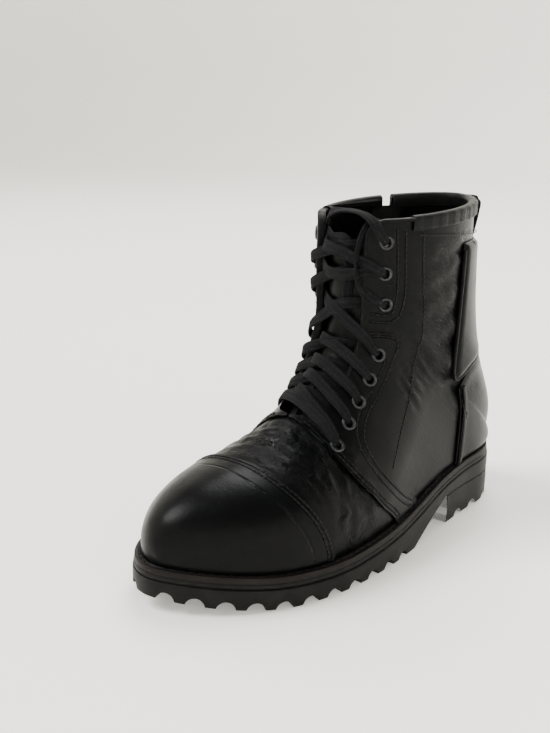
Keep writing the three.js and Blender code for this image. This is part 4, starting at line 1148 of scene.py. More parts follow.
def opening_distance(points, section):
    """Distance from the throat's edge, with the facing's top front corner rounded off."""
    aside = throat_distance(points)
    below = (COLLAR_ROW - section) * COLLAR_STEP
    inward = np.hypot(np.maximum(CORNER_RADIUS - aside, 0), np.maximum(CORNER_RADIUS - below, 0))
    return np.where((aside < 60) & (below < CORNER_RADIUS), np.minimum(CORNER_RADIUS - inward, aside), aside)


def upper_field(points, section, turn):
    value = np.minimum(opening_distance(points, section), eyelet_distance(points))
    return np.minimum(value, zip_distance(points, ZIP_SLOT / 2))


def build_upper():
    side_rows = stitch_line(on_welt(SIDE_SEAM), BOTH, 0.0)
    obj = sheet("upper_skin", (0.0, COLLAR_ROW), (-1.0, 1.0), 1.25, upper_field, lambda d: 0.0 * d, side_rows)
    obj.data.materials.append(BLACK)
    obj.data.materials.append(LINING)
    thicken(obj, WALL, 1)
    finish_piece(obj, BLACK, LINING, stands_for=["upper"], slot="upper_leather")


build_upper()


CAP_ROWS = (2.0, 4.6, 13.0)  # two stitched rows behind the edge, and a pressed line


def build_cap():
    rows = []
    for reach in CAP_ROWS:
        moved = beside(resampled(CAP_EDGE), reach)
        base, normals = over_ridge(moved[moved[:, 1] > welt_top(moved[:, 0]) + 0.8])
        lifted = base + normals * (relief(base)[0] + OVERLAY_LIFT)[:, None]
        if reach < 10:
            upper_stitches.row(lifted, normals, 2.9, 2.3, 0.85, 0.18)
        rows.append(base)

    def field(points, section, turn):
        return inside_distance(points, cap_outline)

    obj = sheet("toe_cap_skin", (0.0, 6.2), (-1.0, 1.0), 1.2, field, lambda d: OVERLAY_LIFT + 0 * d, rows)
    thicken(obj, OVERLAY)
    finish_piece(obj, BLACK, stands_for=["toe_cap"], slot="upper_leather")


build_cap()


def panel_field(outline):
    """Distance inside a facing, clear of the throat and of the eyelets' holes."""
    def field(points, section, turn):
        value = np.minimum(inside_distance(points, outline), opening_distance(points, section))
        return np.minimum(value, eyelet_distance(points))

    return field


def build_facings():
    seams = (
        (FACING_FRONT, 2.0, clear_of_throat), (FACING_FRONT, 4.4, clear_of_throat),
        (FACING_REAR, 2.0, clear_of_throat), (FACING_REAR, 6.0, below_notch),
        (UPPER_FACING, 2.0, clear_of_throat), (UPPER_FACING, 6.5, clear_of_throat),
    )
    all_rows = []
    for edge, reach, keep in seams:
        all_rows += stitch_line(on_welt(beside(edge, reach)), BOTH, OVERLAY_LIFT, keep)
    for side, word in SIDES:
        turns = (0.02, 1.0) if side > 0 else (-1.0, -0.02)
        rows = [line for line in all_rows if line[:, 0].mean() * side > 0]
        for part, sections, outline in (
            ("lower", (6.2, 14.0), facing_outline), ("upper", (12.0, COLLAR_ROW), upper_facing_outline),
        ):
            obj = sheet(
                f"{part}_facing_skin_{word}", sections, turns, 1.1, panel_field(outline),
                lambda d: OVERLAY_LIFT + 0 * d, rows,
            )
            thicken(obj, OVERLAY)
            finish_piece(obj, BLACK, stands_for=[f"{part}_facing_{word}"], slot="upper_leather")


build_facings()


def build_counter():
    """The heel counter, fullest just inside its edge, in two halves."""
    rows = stitch_line(on_welt(beside(COUNTER_FRONT, -2.0)), BOTH, GAP + COUNTER)
    rows += stitch_line(on_welt(beside(COUNTER_FRONT, -6.0)), BOTH, GAP + COUNTER)

    def field(points, section, turn):
        return inside_distance(points, counter_outline)

    def lift(d):
        return GAP + COUNTER * (0.55 + 0.45 * np.exp(-((d - 4) / 2.6) ** 2))

    for side, word in SIDES:
        turns = (0.2, 1.0) if side > 0 else (-1.0, -0.2)
        lines = [line for line in rows if line[:, 0].mean() * side > 0]
        obj = sheet(f"heel_counter_skin_{word}", (8.0, 18.0), turns, 1.2, field, lift, lines, 0.2)
        ease(obj, 8.0, 30)
        thicken(obj, COUNTER * 0.9)
        finish_piece(obj, BLACK, stands_for=["heel_counter"], slot="upper_leather")


build_counter()


def build_pad():
    """The padded back panel, crowned from its seams inwards, in two halves."""
    def lateral_field(points, section, turn):
        return inside_distance(points, pad_outline)

    def medial_field(points, section, turn):
        behind_zip = points[:, 1] - zip_line(points[:, 2]) - ZIP_SLOT
        top = PAD_TOP - points[:, 2]
        bottom = np.interp(points[:, 1], COUNTER_TOP[:, 0], COUNTER_TOP[:, 1])
        return np.minimum(np.minimum(behind_zip, top), points[:, 2] - bottom - 1.3)

    def lift(d):
        swell = np.clip(d / 5.5, 0, 1)
        return GAP + 0.3 + (PAD - 0.3) * np.sqrt(1 - (1 - swell) ** 2)

    for side, word, field in ((1, "lateral", lateral_field), (-1, "medial", medial_field)):
        turns = (0.35, 1.0) if side > 0 else (-1.0, -0.35)
        obj = sheet(f"back_pad_{word}", (13.0, COLLAR_ROW), turns, 1.2, field, lift, (), 0.12)
        thicken(obj, 0.5)
        finish_piece(obj, BLACK, stands_for=["back_panel"], slot="upper_leather")


build_pad()

# Sole


def outline_loop(inset, count):
    """Points and outward directions round the sole, drawn in by an inset."""
    turn = np.linspace(0, math.pi, count)
    y = -np.cos(turn) * (HALF_LENGTH - inset)
    along = (y + HALF_LENGTH - inset) / (SOLE_LENGTH - 2 * inset)
    share = 1 - inset / BALL_HALF
    lateral = np.stack([centre_line(y) + sole_half(along, 1) * share, y], -1)
    medial = np.stack([centre_line(y) - sole_half(along, -1) * share, y], -1)[1:-1][::-1]
    loop = np.vstack([lateral, medial])
    run = unit(np.roll(loop, -1, 0) - np.roll(loop, 1, 0))
    return loop, np.stack([run[:, 1], -run[:, 0]], -1)


def ring(name, inset, profile, top_of):
    """A closed ring swept round the sole. profile holds (distance inwards, height)."""
    loop, out = outline_loop(inset, 160)
    obj = grid(name, len(profile) - 1, len(loop))
    u, v = grid_shares(obj)
    i = np.rint(u * (len(profile) - 1)).astype(int)
    j = np.rint(v * len(loop)).astype(int) % len(loop)
    shape = np.array(profile, float)
    flat = loop[j] - out[j] * shape[i, :1]
    place_points(obj, np.column_stack([flat, top_of(flat[:, 1]) + shape[i, 1]]))
    set_map(obj, u, v)
    outward(obj)
    return obj


WELT_PROFILE = [
    (0.0, -WELT_THICKNESS), (-0.1, -2.6), (0.0, -0.7), (0.25, -0.2), (0.8, 0.0), (2.0, 0.0), (2.35, -0.5),
    (2.9, -0.75), (3.5, -0.5), (3.9, 0.0), (6.0, 0.1), (11.0, 0.0), (11.0, -WELT_THICKNESS),
    (0.0, -WELT_THICKNESS),
]
WELT_STITCH_IN = 2.9


def build_welt():
    obj = ring("welt_strip", 1.0, WELT_PROFILE, welt_top)
    finish_piece(obj, WELT, stands_for=["welt"], slot="welt_leather", angle=35)
    loop, out = outline_loop(1.0, 260)
    flat = loop - out * WELT_STITCH_IN
    line = np.column_stack([flat, welt_top(flat[:, 1]) - 0.35])
    line = np.vstack([line, line[:1]])
    stitches = Stitches("welt_stitches")
    normals = np.tile([0.0, 0.0, 1.0], (len(line), 1))
    stitches.row(line, normals, 5.4, 4.5, 1.25, 0.1)
    stitches.build("welt_leather")


build_welt()


def spring(y):
    """Height of the outsole's underside over the floor."""
    start = -0.3 * SOLE_LENGTH
    toe = TOE_SPRING * (np.clip((start - y) / (start + HALF_LENGTH), 0, 1)) ** 1.6
    rise = np.clip((y - WAIST_START) / (BREAST_PLACE - 1 - WAIST_START), 0, 1)
    return toe + (HEEL_BLOCK_HEIGHT + GAP) * rise ** 0.85


def midsole_top(y):
    """Height of the welt's underside."""
    return welt_top(y) - WELT_THICKNESS


def layer_block(name, inset, top_of, bottom_of, start, end, flat_front):
    """A solid layer of the sole between two heights."""
    count = 150
    if flat_front:
        y = start + (end - start) * np.sin(np.linspace(0, math.pi / 2, count))
    else:
        y = start + (end - start) * (1 - np.cos(np.linspace(0, math.pi, count))) / 2
    along = (y + HALF_LENGTH - inset) / (SOLE_LENGTH - 2 * inset)
    share = 1 - inset / BALL_HALF
    obj = grid(name, 12, count - 1)
    u, v = grid_shares(obj)
    j = np.rint(v * (count - 1)).astype(int)
    k = np.rint(u * 12).astype(int)
    lateral = (centre_line(y) + sole_half(along, 1) * share)[j]
    medial = (centre_line(y) - sole_half(along, -1) * share)[j]
    top = top_of(y)[j]
    bottom = bottom_of(y)[j]
    middle = (top + bottom) / 2
    high, low = top - 0.6, bottom + 0.6
    x = np.choose(k, [
        lateral, lateral + 0.15, lateral, lateral - 0.7, medial + 0.7, medial, medial - 0.15, medial,
        medial + 0.4, lateral - 0.4, lateral, lateral, lateral,
    ])
    z = np.choose(k, [low, middle, high, top, top, high, middle, low, bottom, bottom, low, low, low])
    place_points(obj, np.column_stack([x, y[j], z]))
    return obj


def close_ends(obj):
    """Merges doubled points, fills the open ends and turns the faces outwards."""
    only(obj)
    bpy.ops.object.mode_set(mode="EDIT")
    bpy.ops.mesh.select_all(action="SELECT")
    bpy.ops.mesh.remove_doubles(threshold=1e-6)
    bpy.ops.mesh.select_all(action="DESELECT")
    bpy.ops.mesh.select_mode(type="EDGE")
    bpy.ops.mesh.select_non_manifold(extend=False)
    bpy.ops.mesh.fill()
    bpy.ops.mesh.select_all(action="SELECT")
    bpy.ops.mesh.normals_make_consistent(inside=False)
    bpy.ops.object.mode_set(mode="OBJECT")


NOTCH_RADIUS = 5.5
NOTCH_REACH = 17
TREAD_DEPTH = 4.5
LUG_PITCH = 16.5
HEEL_LUG_PITCH = 21


def tread_height(y):
    """Height of the tread's lowest face: the outsole's ahead of the waist, and the heel's on the floor."""
    return float(spring(np.array(y))) if y < WAIST_START else 0.0


def notch_cutters(start, end, first, pitch, side):
    """Round bars across the sole's edge, at even steps of its length."""
    y = np.arange(start, end, 0.5)
    along = (y + HALF_LENGTH) / SOLE_LENGTH
    x = centre_line(y) + side * sole_half(along, side)
    line = np.stack([x, y], -1)
    arc = run_lengths(line)
    made = []
    for place in np.arange(first, arc[-1], pitch):
        at = np.array([np.interp(place, arc, line[:, k]) for k in range(2)])
        ahead = np.array([np.interp(place + 0.6, arc, line[:, k]) for k in range(2)])
        run = ahead - np.array([np.interp(place - 0.6, arc, line[:, k]) for k in range(2)])
        across = math.atan2(run[1], run[0]) + math.pi / 2
        low = tread_height(at[1])
        bpy.ops.mesh.primitive_cylinder_add(
            vertices=20, radius=NOTCH_RADIUS * MM, depth=2 * NOTCH_REACH * MM,
            location=(at[0] * MM, at[1] * MM, (low + TREAD_DEPTH - NOTCH_RADIUS) * MM),
            rotation=(math.pi / 2, 0, across + math.pi / 2),
        )
        made.append(bpy.context.object)
    return made


def groove_cutters(start, end, pitch, reach):
    """Blocks for the cross grooves between the lugs."""
    made = []
    for y in np.arange(start, end + 0.01, pitch):
        along = (y + HALF_LENGTH) / SOLE_LENGTH
        lateral = float(sole_half(along, 1)) - reach
        medial = float(sole_half(along, -1)) - reach
        low = tread_height(y)
        centre = (float(centre_line(y)) + (lateral - medial) / 2, y, low)
        bpy.ops.mesh.primitive_cube_add(size=1, location=[c * MM for c in centre])
        block = bpy.context.object
        block.scale = ((lateral + medial) * MM, 4 * MM, 2 * TREAD_DEPTH * MM)
        made.append(block)
    return made


def cut(obj, cutters):
    """Takes the joined cutters out of a piece."""
    tool = joined("cutters", cutters)
    only(obj)
    step = obj.modifiers.new("notches", "BOOLEAN")
    step.operation = "DIFFERENCE"
    step.object = tool
    step.solver = "EXACT"
    step.use_self = True
    bpy.ops.object.modifier_apply(modifier=step.name)
    bpy.data.objects.remove(tool)


def build_sole():
    mid = layer_block(
        "midsole_layer", 0.6, midsole_top, lambda y: midsole_top(y) - MIDSOLE_THICKNESS,
        -HALF_LENGTH + 0.6, HALF_LENGTH - 0.6, False,
    )
    close_ends(mid)
    finish_piece(mid, RUBBER, stands_for=["midsole"], slot="sole_rubber")
    out = layer_block(
        "outsole_lugs", 0.0, lambda y: midsole_top(y) - MIDSOLE_THICKNESS - 0.25, spring,
        -HALF_LENGTH, HALF_LENGTH, False,
    )
    close_ends(out)
    cutters = groove_cutters(-HALF_LENGTH + 30, 3, LUG_PITCH, NOTCH_REACH + 5)
    for side in BOTH:
        cutters += notch_cutters(-HALF_LENGTH + 0.2, 9, 10, LUG_PITCH, side)
    cut(out, cutters)
    finish_piece(out, RUBBER, stands_for=["outsole"], slot="sole_rubber", angle=30)
    block = layer_block(
        "heel_block", 0.0, lambda y: HEEL_BLOCK_HEIGHT + 0 * y, lambda y: 0 * y,
        BREAST_PLACE, HALF_LENGTH, True,
    )
    close_ends(block)
    cutters = groove_cutters(BREAST_PLACE + 16, HALF_LENGTH - 22, HEEL_LUG_PITCH, NOTCH_REACH + 3)
    for side in BOTH:
        cutters += notch_cutters(BREAST_PLACE, HALF_LENGTH - 0.5, 17, HEEL_LUG_PITCH, side)
    cut(block, cutters)
    finish_piece(block, RUBBER, stands_for=["heel"], slot="sole_rubber", angle=30)


build_sole()

# Swept strips


STRAP_SHAPE = np.array([
    (-0.5, -0.2), (-0.5, 0.2), (-0.44, 0.42), (-0.25, 0.5), (0, 0.46), (0.25, 0.5), (0.44, 0.42),
    (0.5, 0.2), (0.5, -0.2), (0.44, -0.42), (0.25, -0.5), (0, -0.46), (-0.25, -0.5), (-0.44, -0.42),
    (-0.5, -0.2),
])


def ribbon(name, points, normals, widths, thickness, twists=0.0, squeeze=1.0):
    """A flat cord or strap along points, square to the normals, with rounded edges. twists
    lean it about its run in degrees, and squeeze is how much thicker it may get where it is
    narrower than a lace."""
    points = np.array(points, float)
    arc = run_lengths(points)
    reads = np.linspace(0, arc[-1], int(arc[-1] / 1.1) + 4)
    line = np.stack([through(arc, points[:, k])(reads) for k in range(3)], -1)
    out = unit(np.stack([np.interp(reads, arc, np.array(normals, float)[:, k]) for k in range(3)], -1))
    width = np.interp(reads, arc, np.broadcast_to(np.array(widths, float), arc.shape))
    turn = np.radians(np.interp(reads, arc, np.broadcast_to(np.array(twists, float), arc.shape)))
    along = unit(np.gradient(line, axis=0))
    across = unit(np.cross(out, along))
    out = np.cross(along, across)
    swung = across * np.cos(turn)[:, None] + out * np.sin(turn)[:, None]
    risen = out * np.cos(turn)[:, None] - across * np.sin(turn)[:, None]
    thick = thickness * np.clip(LACE_WIDTH / width, 1, squeeze)
    obj = grid(name, len(STRAP_SHAPE) - 1, len(reads) - 1)
    u, v = grid_shares(obj)
    i = np.rint(u * (len(STRAP_SHAPE) - 1)).astype(int)
    j = np.rint(v * (len(reads) - 1)).astype(int)
    sideways = swung[j] * (STRAP_SHAPE[i, 0] * width[j])[:, None]
    place_points(obj, line[j] + sideways + risen[j] * (STRAP_SHAPE[i, 1] * thick[j])[:, None])
    set_map(obj, u, reads[j] / 100)
    close_ends(obj)
    return obj


def on_boot(places):
    """Rows of (section, turn, lift) as points and normals that follow the folds."""
    section, turn, lift = np.array(places, float).T
    base = last_point(section, turn)
    normal = last_normal(section, turn)
    return base + normal * (lift + relief(base)[0])[:, None], normal


# Collar binding, folded over the rim

BINDING_SHAPE = [
    (0.35, -6.3), (1.2, -6.8), (1.85, -6.3), (2.0, -5.0), (1.75, -3.0), (2.0, -1.2), (1.7, 0.6), (0.6, 1.7),
    (-1.2, 2.1), (-3.0, 1.7), (-4.1, 0.6), (-4.3, -1.2), (-4.1, -3.5), (-4.0, -6.2), (-2.9, -6.4),
    (-2.8, 0.1), (0.35, 0.1), (0.35, -6.3),
]


def sweep_rim(name, turns, shape, stands_for):
    """A closed shape of (outwards, upwards) carried along the collar's rim."""
    count = len(turns)
    rim = last_point(COLLAR_ROW, turns)
    normal = last_normal(COLLAR_ROW, turns)
    rise = unit(rim - last_point(COLLAR_ROW - 0.3, turns))
    ripple = 0.18 * np.sin(np.arange(count) * 0.9) + 0.12 * np.sin(np.arange(count) * 2.3)
    shape = np.array(shape)
    obj = grid(name, len(shape) - 1, count - 1)
    u, v = grid_shares(obj)
    i = np.rint(u * (len(shape) - 1)).astype(int)
    j = np.rint(v * (count - 1)).astype(int)
    outwards = shape[i, 0] + ripple[j] * (shape[i, 0] > 0.5)
    points = rim[j] + normal[j] * outwards[:, None] + rise[j] * shape[i, 1][:, None]
    place_points(obj, points)
    set_map(obj, u, v)
    mark_trim(obj, 0.25)
    close_ends(obj)
    finish_piece(obj, EDGE, stands_for=stands_for, slot="upper_leather", angle=50)


def rim_turn(y, side):
    turns = np.linspace(0.02, 0.999, 600)
    return side * np.interp(y, last_point(COLLAR_ROW, side * turns)[:, 1], turns)


def build_binding():
    front = 20.0
    zip_high = zip_line(SHAFT_HEIGHT)
    lateral = np.linspace(rim_turn(front, 1), 1.0, 90)
    behind = np.linspace(-1.0, rim_turn(zip_high + ZIP_SLOT / 2 + 0.4, -1), 40)
    turns = np.concatenate([lateral[:-1], behind[1:]])
    sweep_rim("collar_fold", turns, BINDING_SHAPE, ["collar_binding"])
    ahead = np.linspace(rim_turn(zip_high - ZIP_SLOT / 2 - 0.4, -1), rim_turn(front, -1), 60)
    sweep_rim("collar_fold_medial", ahead, BINDING_SHAPE, ["collar_binding_medial"])
    for turn_run in (turns[3:-3], ahead[3:-3]):
        points, normals = on_boot([(COLLAR_ROW - 0.5, t, 2.05) for t in turn_run])
        upper_stitches.row(points, normals, 2.9, 2.2, 0.8, 0.05)


build_binding()


def edge_places(side, height_rows):
    """Places along the throat's edge at the named sections."""
    found = []
    turns = np.linspace(0.03, 0.5, 400) * side
    for section in height_rows:
        reach = opening_distance(last_point(section, turns), np.full(len(turns), section))
        found.append((section, turns[np.argmax(reach > 0)]))
    return found


def build_facing_rolls():
    """The leather is turned over along the throat and the top of each facing."""
    for side, word in SIDES:
        rows = edge_places(side, np.concatenate([np.linspace(9.0, 19.2, 52), np.linspace(19.3, 19.98, 9)]))
        last_turn = rim_turn(21.0, side)
        top = [(19.99, t) for t in np.linspace(rows[-1][1], last_turn, 14)[1:]]
        points, normal = on_boot([(s, t, -0.35) for s, t in rows + top])
        obj = ribbon(f"facing_roll_{word}", points, normal, 2.3, 4.9)
        mark_trim(obj, 0.5)
        finish_piece(obj, EDGE, slot="upper_leather", angle=60)


build_facing_rolls()


def build_tongue():
    outline = np.array([
        (-0.2, 0.25), (-0.2, 0.6), (-0.1, 1.3), (0.08, 1.3), (0.08, 0.66), (-0.02, 0.4), (-0.11, 0.25),
    ]) * (SOLE_LENGTH, SHAFT_HEIGHT)
    top = COLLAR_ROW - TONGUE_DROP / COLLAR_STEP

    def field(points, section, turn):
        sides = TONGUE_HALF - np.abs(points[:, 0] - THROAT_CENTRE)
        value = np.minimum(sides, inside_distance(points, outline))
        return np.minimum(value, (top - section) * COLLAR_STEP)

    def lift(d):
        return -WALL - GAP - 2.4 + 1.0 * np.exp(-(d / 2.5) ** 2)

    obj = sheet("tongue_leather", (6.0, COLLAR_ROW), (-0.45, 0.45), 1.6, field, lift, (), 0.35)
    thicken(obj, 1.7)
    finish_piece(obj, BLACK, stands_for=["tongue"], slot="upper_leather")


build_tongue()


# Eyelets


def turned_ring(profile):
    """A ring turned from a profile of (radius, height) with the spin operator."""
    bpy.ops.object.select_all(action="DESELECT")
    bpy.ops.mesh.primitive_circle_add(vertices=len(profile), radius=1)
    obj = bpy.context.object
    place_points(obj, [(radius, 0, height) for radius, height in profile])
    bpy.ops.object.mode_set(mode="EDIT")
    bpy.ops.mesh.select_all(action="SELECT")
    bpy.ops.mesh.spin(steps=26, angle=2 * math.pi, center=(0, 0, 0), axis=(0, 0, 1))
    bpy.ops.object.mode_set(mode="OBJECT")
    outward(obj)
    return obj


EYELET_PROFILE = [
    (2.45, -2.4), (2.45, 0.15), (2.65, 0.72), (3.1, 1.08), (3.7, 1.1), (4.2, 0.78), (4.5, 0.2), (4.45, 0.0),
    (3.2, -0.02), (2.85, -0.3), (2.8, -2.4),
]


def build_eyelets():
    model = turned_ring(EYELET_PROFILE)
    shape = read_points(model) / MM
    for side, word in SIDES:
        for number, eyelet in enumerate(eyelets[side], 1):
            bpy.ops.object.select_all(action="DESELECT")
            model.select_set(True)
            bpy.context.view_layer.objects.active = model
            bpy.ops.object.duplicate()
            obj = bpy.context.object
            obj.name = f"eyelet_ring_{word}_{number}"
            obj.data.name = obj.name
            out = eyelet.normal
            across = unit(np.cross((0, 0, 1.0), out))
            up = np.cross(out, across)
            seat = eyelet.centre + out * (OVERLAY_LIFT + 0.1 + relief(eyelet.centre[None])[0][0])
            place_points(obj, seat + shape[:, :1] * across + shape[:, 1:2] * up + shape[:, 2:] * out)
            finish_piece(obj, METAL, stands_for=[f"eyelet_{word}_{number}"], slot="gunmetal", angle=50)
    bpy.data.objects.remove(model)


build_eyelets()


# Lace

OVER = LACE_THICKNESS / 2 + OVERLAY_LIFT + 1.35
UNDER = -WALL - 1.15


def strand(name, points, normals, widths, twists=0.0):
    """A run of the lace, which is bunched where it goes through an eyelet."""
    return ribbon(name, points, normals, widths, LACE_THICKNESS, twists, squeeze=1.7)


def lace_run(name, a, b, middle, twist):
    """From eyelet a over its facing and the throat, under the other facing, and up into
    eyelet b. middle holds the lace's height over the last at three places between them."""
    low = [
        (a.section, a.turn, UNDER), (a.section + 0.03, a.turn * 0.985, 0.6),
        (a.section + 0.1, a.turn * 0.88, OVER),
    ]
    edge = (a.section + 0.15 * (b.section - a.section), a.turn * 0.7, OVER + 0.2)
    centre = [
        (a.section + (b.section - a.section) * s, a.turn + (b.turn - a.turn) * s, m)
        for s, m in zip((0.38, 0.5, 0.64), middle)
    ]
    far = (a.section + (b.section - a.section) * 0.84, b.turn * 0.66, UNDER - 0.3)
    high = [(b.section - 0.02, b.turn * 0.88, UNDER - 0.2), (b.section, b.turn, UNDER + 0.4)]
    points, normals = on_boot(low + [edge] + centre + [far] + high)
    widths = [3.6, 4.2, 5.6, 6.6, 7, 7, 7, 6.6, 5.6, 3.8]
    twists = [0, 0, 0, 0.2 * twist, twist, twist, 0.7 * twist, 0.3 * twist, 0, 0]
    return strand(name, points, normals, widths, twists)


# Heights over the last of the run that starts on the lateral side and of the one that starts
# on the medial side, at three places between the eyelets, and the lean of each in degrees
LACE_ROWS = {
    7: ((1.6, 1.9, 1.4), (-1.3, -1.6, -1.0), 0, 35), 6: ((2.2, 2.6, 1.2), (-1.0, -1.2, -0.6), 8, 50),
    5: ((2.6, 2.4, 0.6), (-0.8, -1.2, -0.4), -6, 20), 4: ((1.2, 0.4, -1.0), (-2.0, -2.2, -1.6), 15, 60),
    3: ((0.4, -1.0, -2.2), (-2.6, -2.8, -2.2), 25, 10), 2: ((1.6, 1.2, 0.4), (-2.0, -2.2, -1.8), -10, 40),
    1: ((1.4, 1.8, 1.0), (-1.6, -1.8, -1.4), 12, 20),
}
SLACK_ROW = 2  # the lateral lace of this row climbs to the collar instead of crossing


def build_lace():
    lateral, medial = eyelets[1], eyelets[-1]
    runs = []
    # Bottom bar, into both eyelets from outside
    a, b = lateral[7], medial[7]
    bar = [
        (a.section, a.turn, UNDER), (a.section, a.turn * 0.98, 0.8), (a.section + 0.03, a.turn * 0.86, OVER),
        (a.section + 0.15, a.turn * 0.6, OVER + 0.3), (a.section + 0.45, 0.0, 0.6),
        (b.section - 0.2, b.turn * 0.55, OVER), (b.section, b.turn * 0.86, OVER),
        (b.section, b.turn * 0.98, 0.8), (b.section, b.turn, UNDER),
    ]
    runs.append(strand("bar", *on_boot(bar), [3.6, 4.2, 5.8, 7, 7, 7, 5.8, 4.2, 3.6]))
    for row, (first, second, lean, other_lean) in LACE_ROWS.items():
        if row != SLACK_ROW:
            runs.append(lace_run(f"over_{row}", lateral[row], medial[row - 1], first, lean))
        runs.append(lace_run(f"under_{row}", medial[row], lateral[row - 1], second, other_lean))
    # Under the throat between the two lowest rows
    for a, b, deep in ((lateral[7], medial[6], -0.4), (medial[7], lateral[6], -1.9)):
        places = [(a.section, a.turn, UNDER + 0.4), (a.section + 0.1, a.turn * 0.8, UNDER - 0.2)]
        places += [((a.section + b.section) / 2, 0.0, UNDER + deep), (b.section, b.turn * 0.8, UNDER - 0.2)]
        places += [(b.section, b.turn, UNDER + 0.4)]
        runs.append(strand("under_bar", *on_boot(places), [4, 6.5, 7, 6.5, 4]))
    # Slack at the top: the third row's end climbs along the facing's edge to the collar. ways
    # are the directions that the flat of the lace faces.
    third = lateral[SLACK_ROW]
    out = third.normal
    slack = [
        third.centre - out * 2.8, third.centre + out * 1.5, (21.5, -1.0, 154.5), (17.5, -5.5, 160.5),
        (14.5, -7.4, 171.0), (14.2, -5.6, 184.5), (16.6, -0.4, 194.5), (18.2, 6.5, 198.0),
        (19.5, 13.5, 194.5),
    ]
    ways = [
        out, out, (0.6, -0.8, 0), (0.8, -0.6, 0), (0.9, -0.4, 0.1), (0.9, -0.4, 0.2), (0.8, -0.4, 0.45),
        (0.6, 0.1, 0.8), (0.5, 0.8, 0.2),
    ]
    twists = [0, 0, 10, 35, 50, 40, 10, 0, 0]
    runs.append(strand("slack", slack, ways, [3.8, 4.4, 6.4, 7, 7, 7, 7, 6.6, 6], twists))
    # Across the collar from the first row
    first = lateral[0]
    out = first.normal
    over = [
        first.centre - out * 2.8, first.centre + out * 1.4, (25.6, -0.4, 192.4), (20.6, -1.6, 199.4),
        (11.0, -1.2, 203.4), (-3.0, -0.5, 203.6), (-14.0, 1.5, 200.5), (-20.6, 8.0, 193.5),
        (-24.0, 10.8, 188.0),
    ]
    ways = [
        out, out, (0.75, -0.6, 0.2), (0.55, -0.6, 0.6), (0.2, -0.6, 0.75), (0, -0.6, 0.8), (-0.3, -0.7, 0.5),
        (-0.8, -0.5, 0.2), (-0.83, -0.56, 0),
    ]
    twists = [0, 0, 0, 20, 35, 25, 0, 0, 0]
    runs.append(strand("top", over, ways, [3.8, 4.4, 6.2, 7, 7, 7, 7, 6, 4], twists))
    # Looped once behind the crossings, and down the tongue
    hanging = [
        (-17.5, 4.0, 189.5), (-9.0, -1.5, 187.0), (1.5, -4.2, 187.8), (5.6, -3.4, 183.0), (5.0, -2.4, 177.5),
        (0.6, -2.0, 176.4), (-1.2, -2.8, 181.0), (3.5, -4.8, 184.0), (7.0, -5.0, 176.0), (6.5, -3.6, 166.0),
        (4.6, -2.4, 155.0), (5.4, -1.0, 143.0), (7.5, 1.0, 134.0),
    ]
    ways = [
        (0, -1, 0.1), (0.1, -1, 0.1), (0.4, -0.8, 0.3), (1, -0.2, 0), (0.6, -0.5, -0.6), (-0.1, -0.6, -0.8),
        (-0.9, -0.5, 0.1), (0.2, -0.8, 0.6), (0.8, -0.6, 0.1), (0.6, -0.8, 0), (0.4, -0.9, 0),
        (0.5, -0.85, 0.1), (0.5, -0.85, 0.1),
    ]
    runs.append(strand("hanging", hanging, ways, 6.4))
    # Flat across the throat from the second row
    second = lateral[1]
    out = second.normal
    flat = [
        second.centre - out * 2.8, second.centre + out * 1.6, (20.6, -2.6, 169.6), (13.5, -6.6, 168.6),
        (3.0, -8.6, 167.4), (-8.0, -6.2, 167.6), (-17.0, 0.6, 172.0), (-23.0, 6.4, 180.0),
        (-27.0, 9.6, 186.0),
    ]
    ways = [
        out, out, (0.75, -0.65, 0), (0.5, -0.85, 0), (0.1, -1, 0), (-0.3, -0.95, 0), (-0.65, -0.75, 0),
        (-0.8, -0.6, 0), (-0.83, -0.56, 0),
    ]
    runs.append(strand("flat", flat, ways, [3.8, 4.4, 6.2, 7, 7, 7, 6.6, 5.6, 4]))
    obj = joined("lace", runs)
    finish_piece(obj, LACE, stands_for=["lace_crossings"], slot="lace", angle=50)


build_lace()


# Pull loop, zip and inner parts


def build_pull_loop():
    """A webbing strap that stands off the back of the collar and is sewn down below."""
    low, high = (np.array(c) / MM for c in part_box("pull_loop"))
    front, back = low[1], high[1] - 1.2
    bottom, top = low[2], high[2]
    side_view = [
        (front + 1.2, bottom + 30), (front + 1.4, top - 6.5), (front + 3.5, top - 2.0),
        (front + 9, top - 1.2), (back - 4, top - 2.6), (back - 0.4, top - 5.2), (back - 0.9, top - 9),
        (back - 4.5, top - 20), (back - 8.5, top - 30), (back - 10.5, bottom + 5),
        (back - 11, bottom + 1.2),
    ]
    points = np.array([(0.0, y, z) for y, z in side_view])
    run = unit(np.gradient(points, axis=0))
    normals = np.stack([0 * run[:, 0], -run[:, 2], run[:, 1]], -1)
    obj = ribbon("pull_strap", points, -normals, LOOP_WIDTH - 0.6, 2.4)
    finish_piece(obj, TAPE, stands_for=["pull_loop"], slot="lace", angle=45)


build_pull_loop()


TOOTH = (3.0, 1.35, 1.9)  # across, along and out of the zip
TOOTH_PITCH = 2.3
ZIP_TAPE_HALF = 11


def model_tooth():
    """One moulded tooth, a unit block with its edges broken."""
    bpy.ops.object.select_all(action="DESELECT")
    bpy.ops.mesh.primitive_cube_add(size=1)
    tooth = bpy.context.object
    bpy.ops.object.mode_set(mode="EDIT")
    bpy.ops.mesh.select_all(action="SELECT")
    bpy.ops.mesh.bevel(offset=0.18, segments=1, affect="EDGES")
    bpy.ops.object.mode_set(mode="OBJECT")
    return points_and_faces(tooth)


def zip_place(z, offset, lift):
    """Places along the zip on the medial side, at an offset across it and a lift over the last."""
    z = np.asarray(z, float)
    section, turn = locate(zip_line(z) + offset, z)
    base = last_point(section, -turn)
    normal = last_normal(section, -turn)
    return base + normal * lift, normal


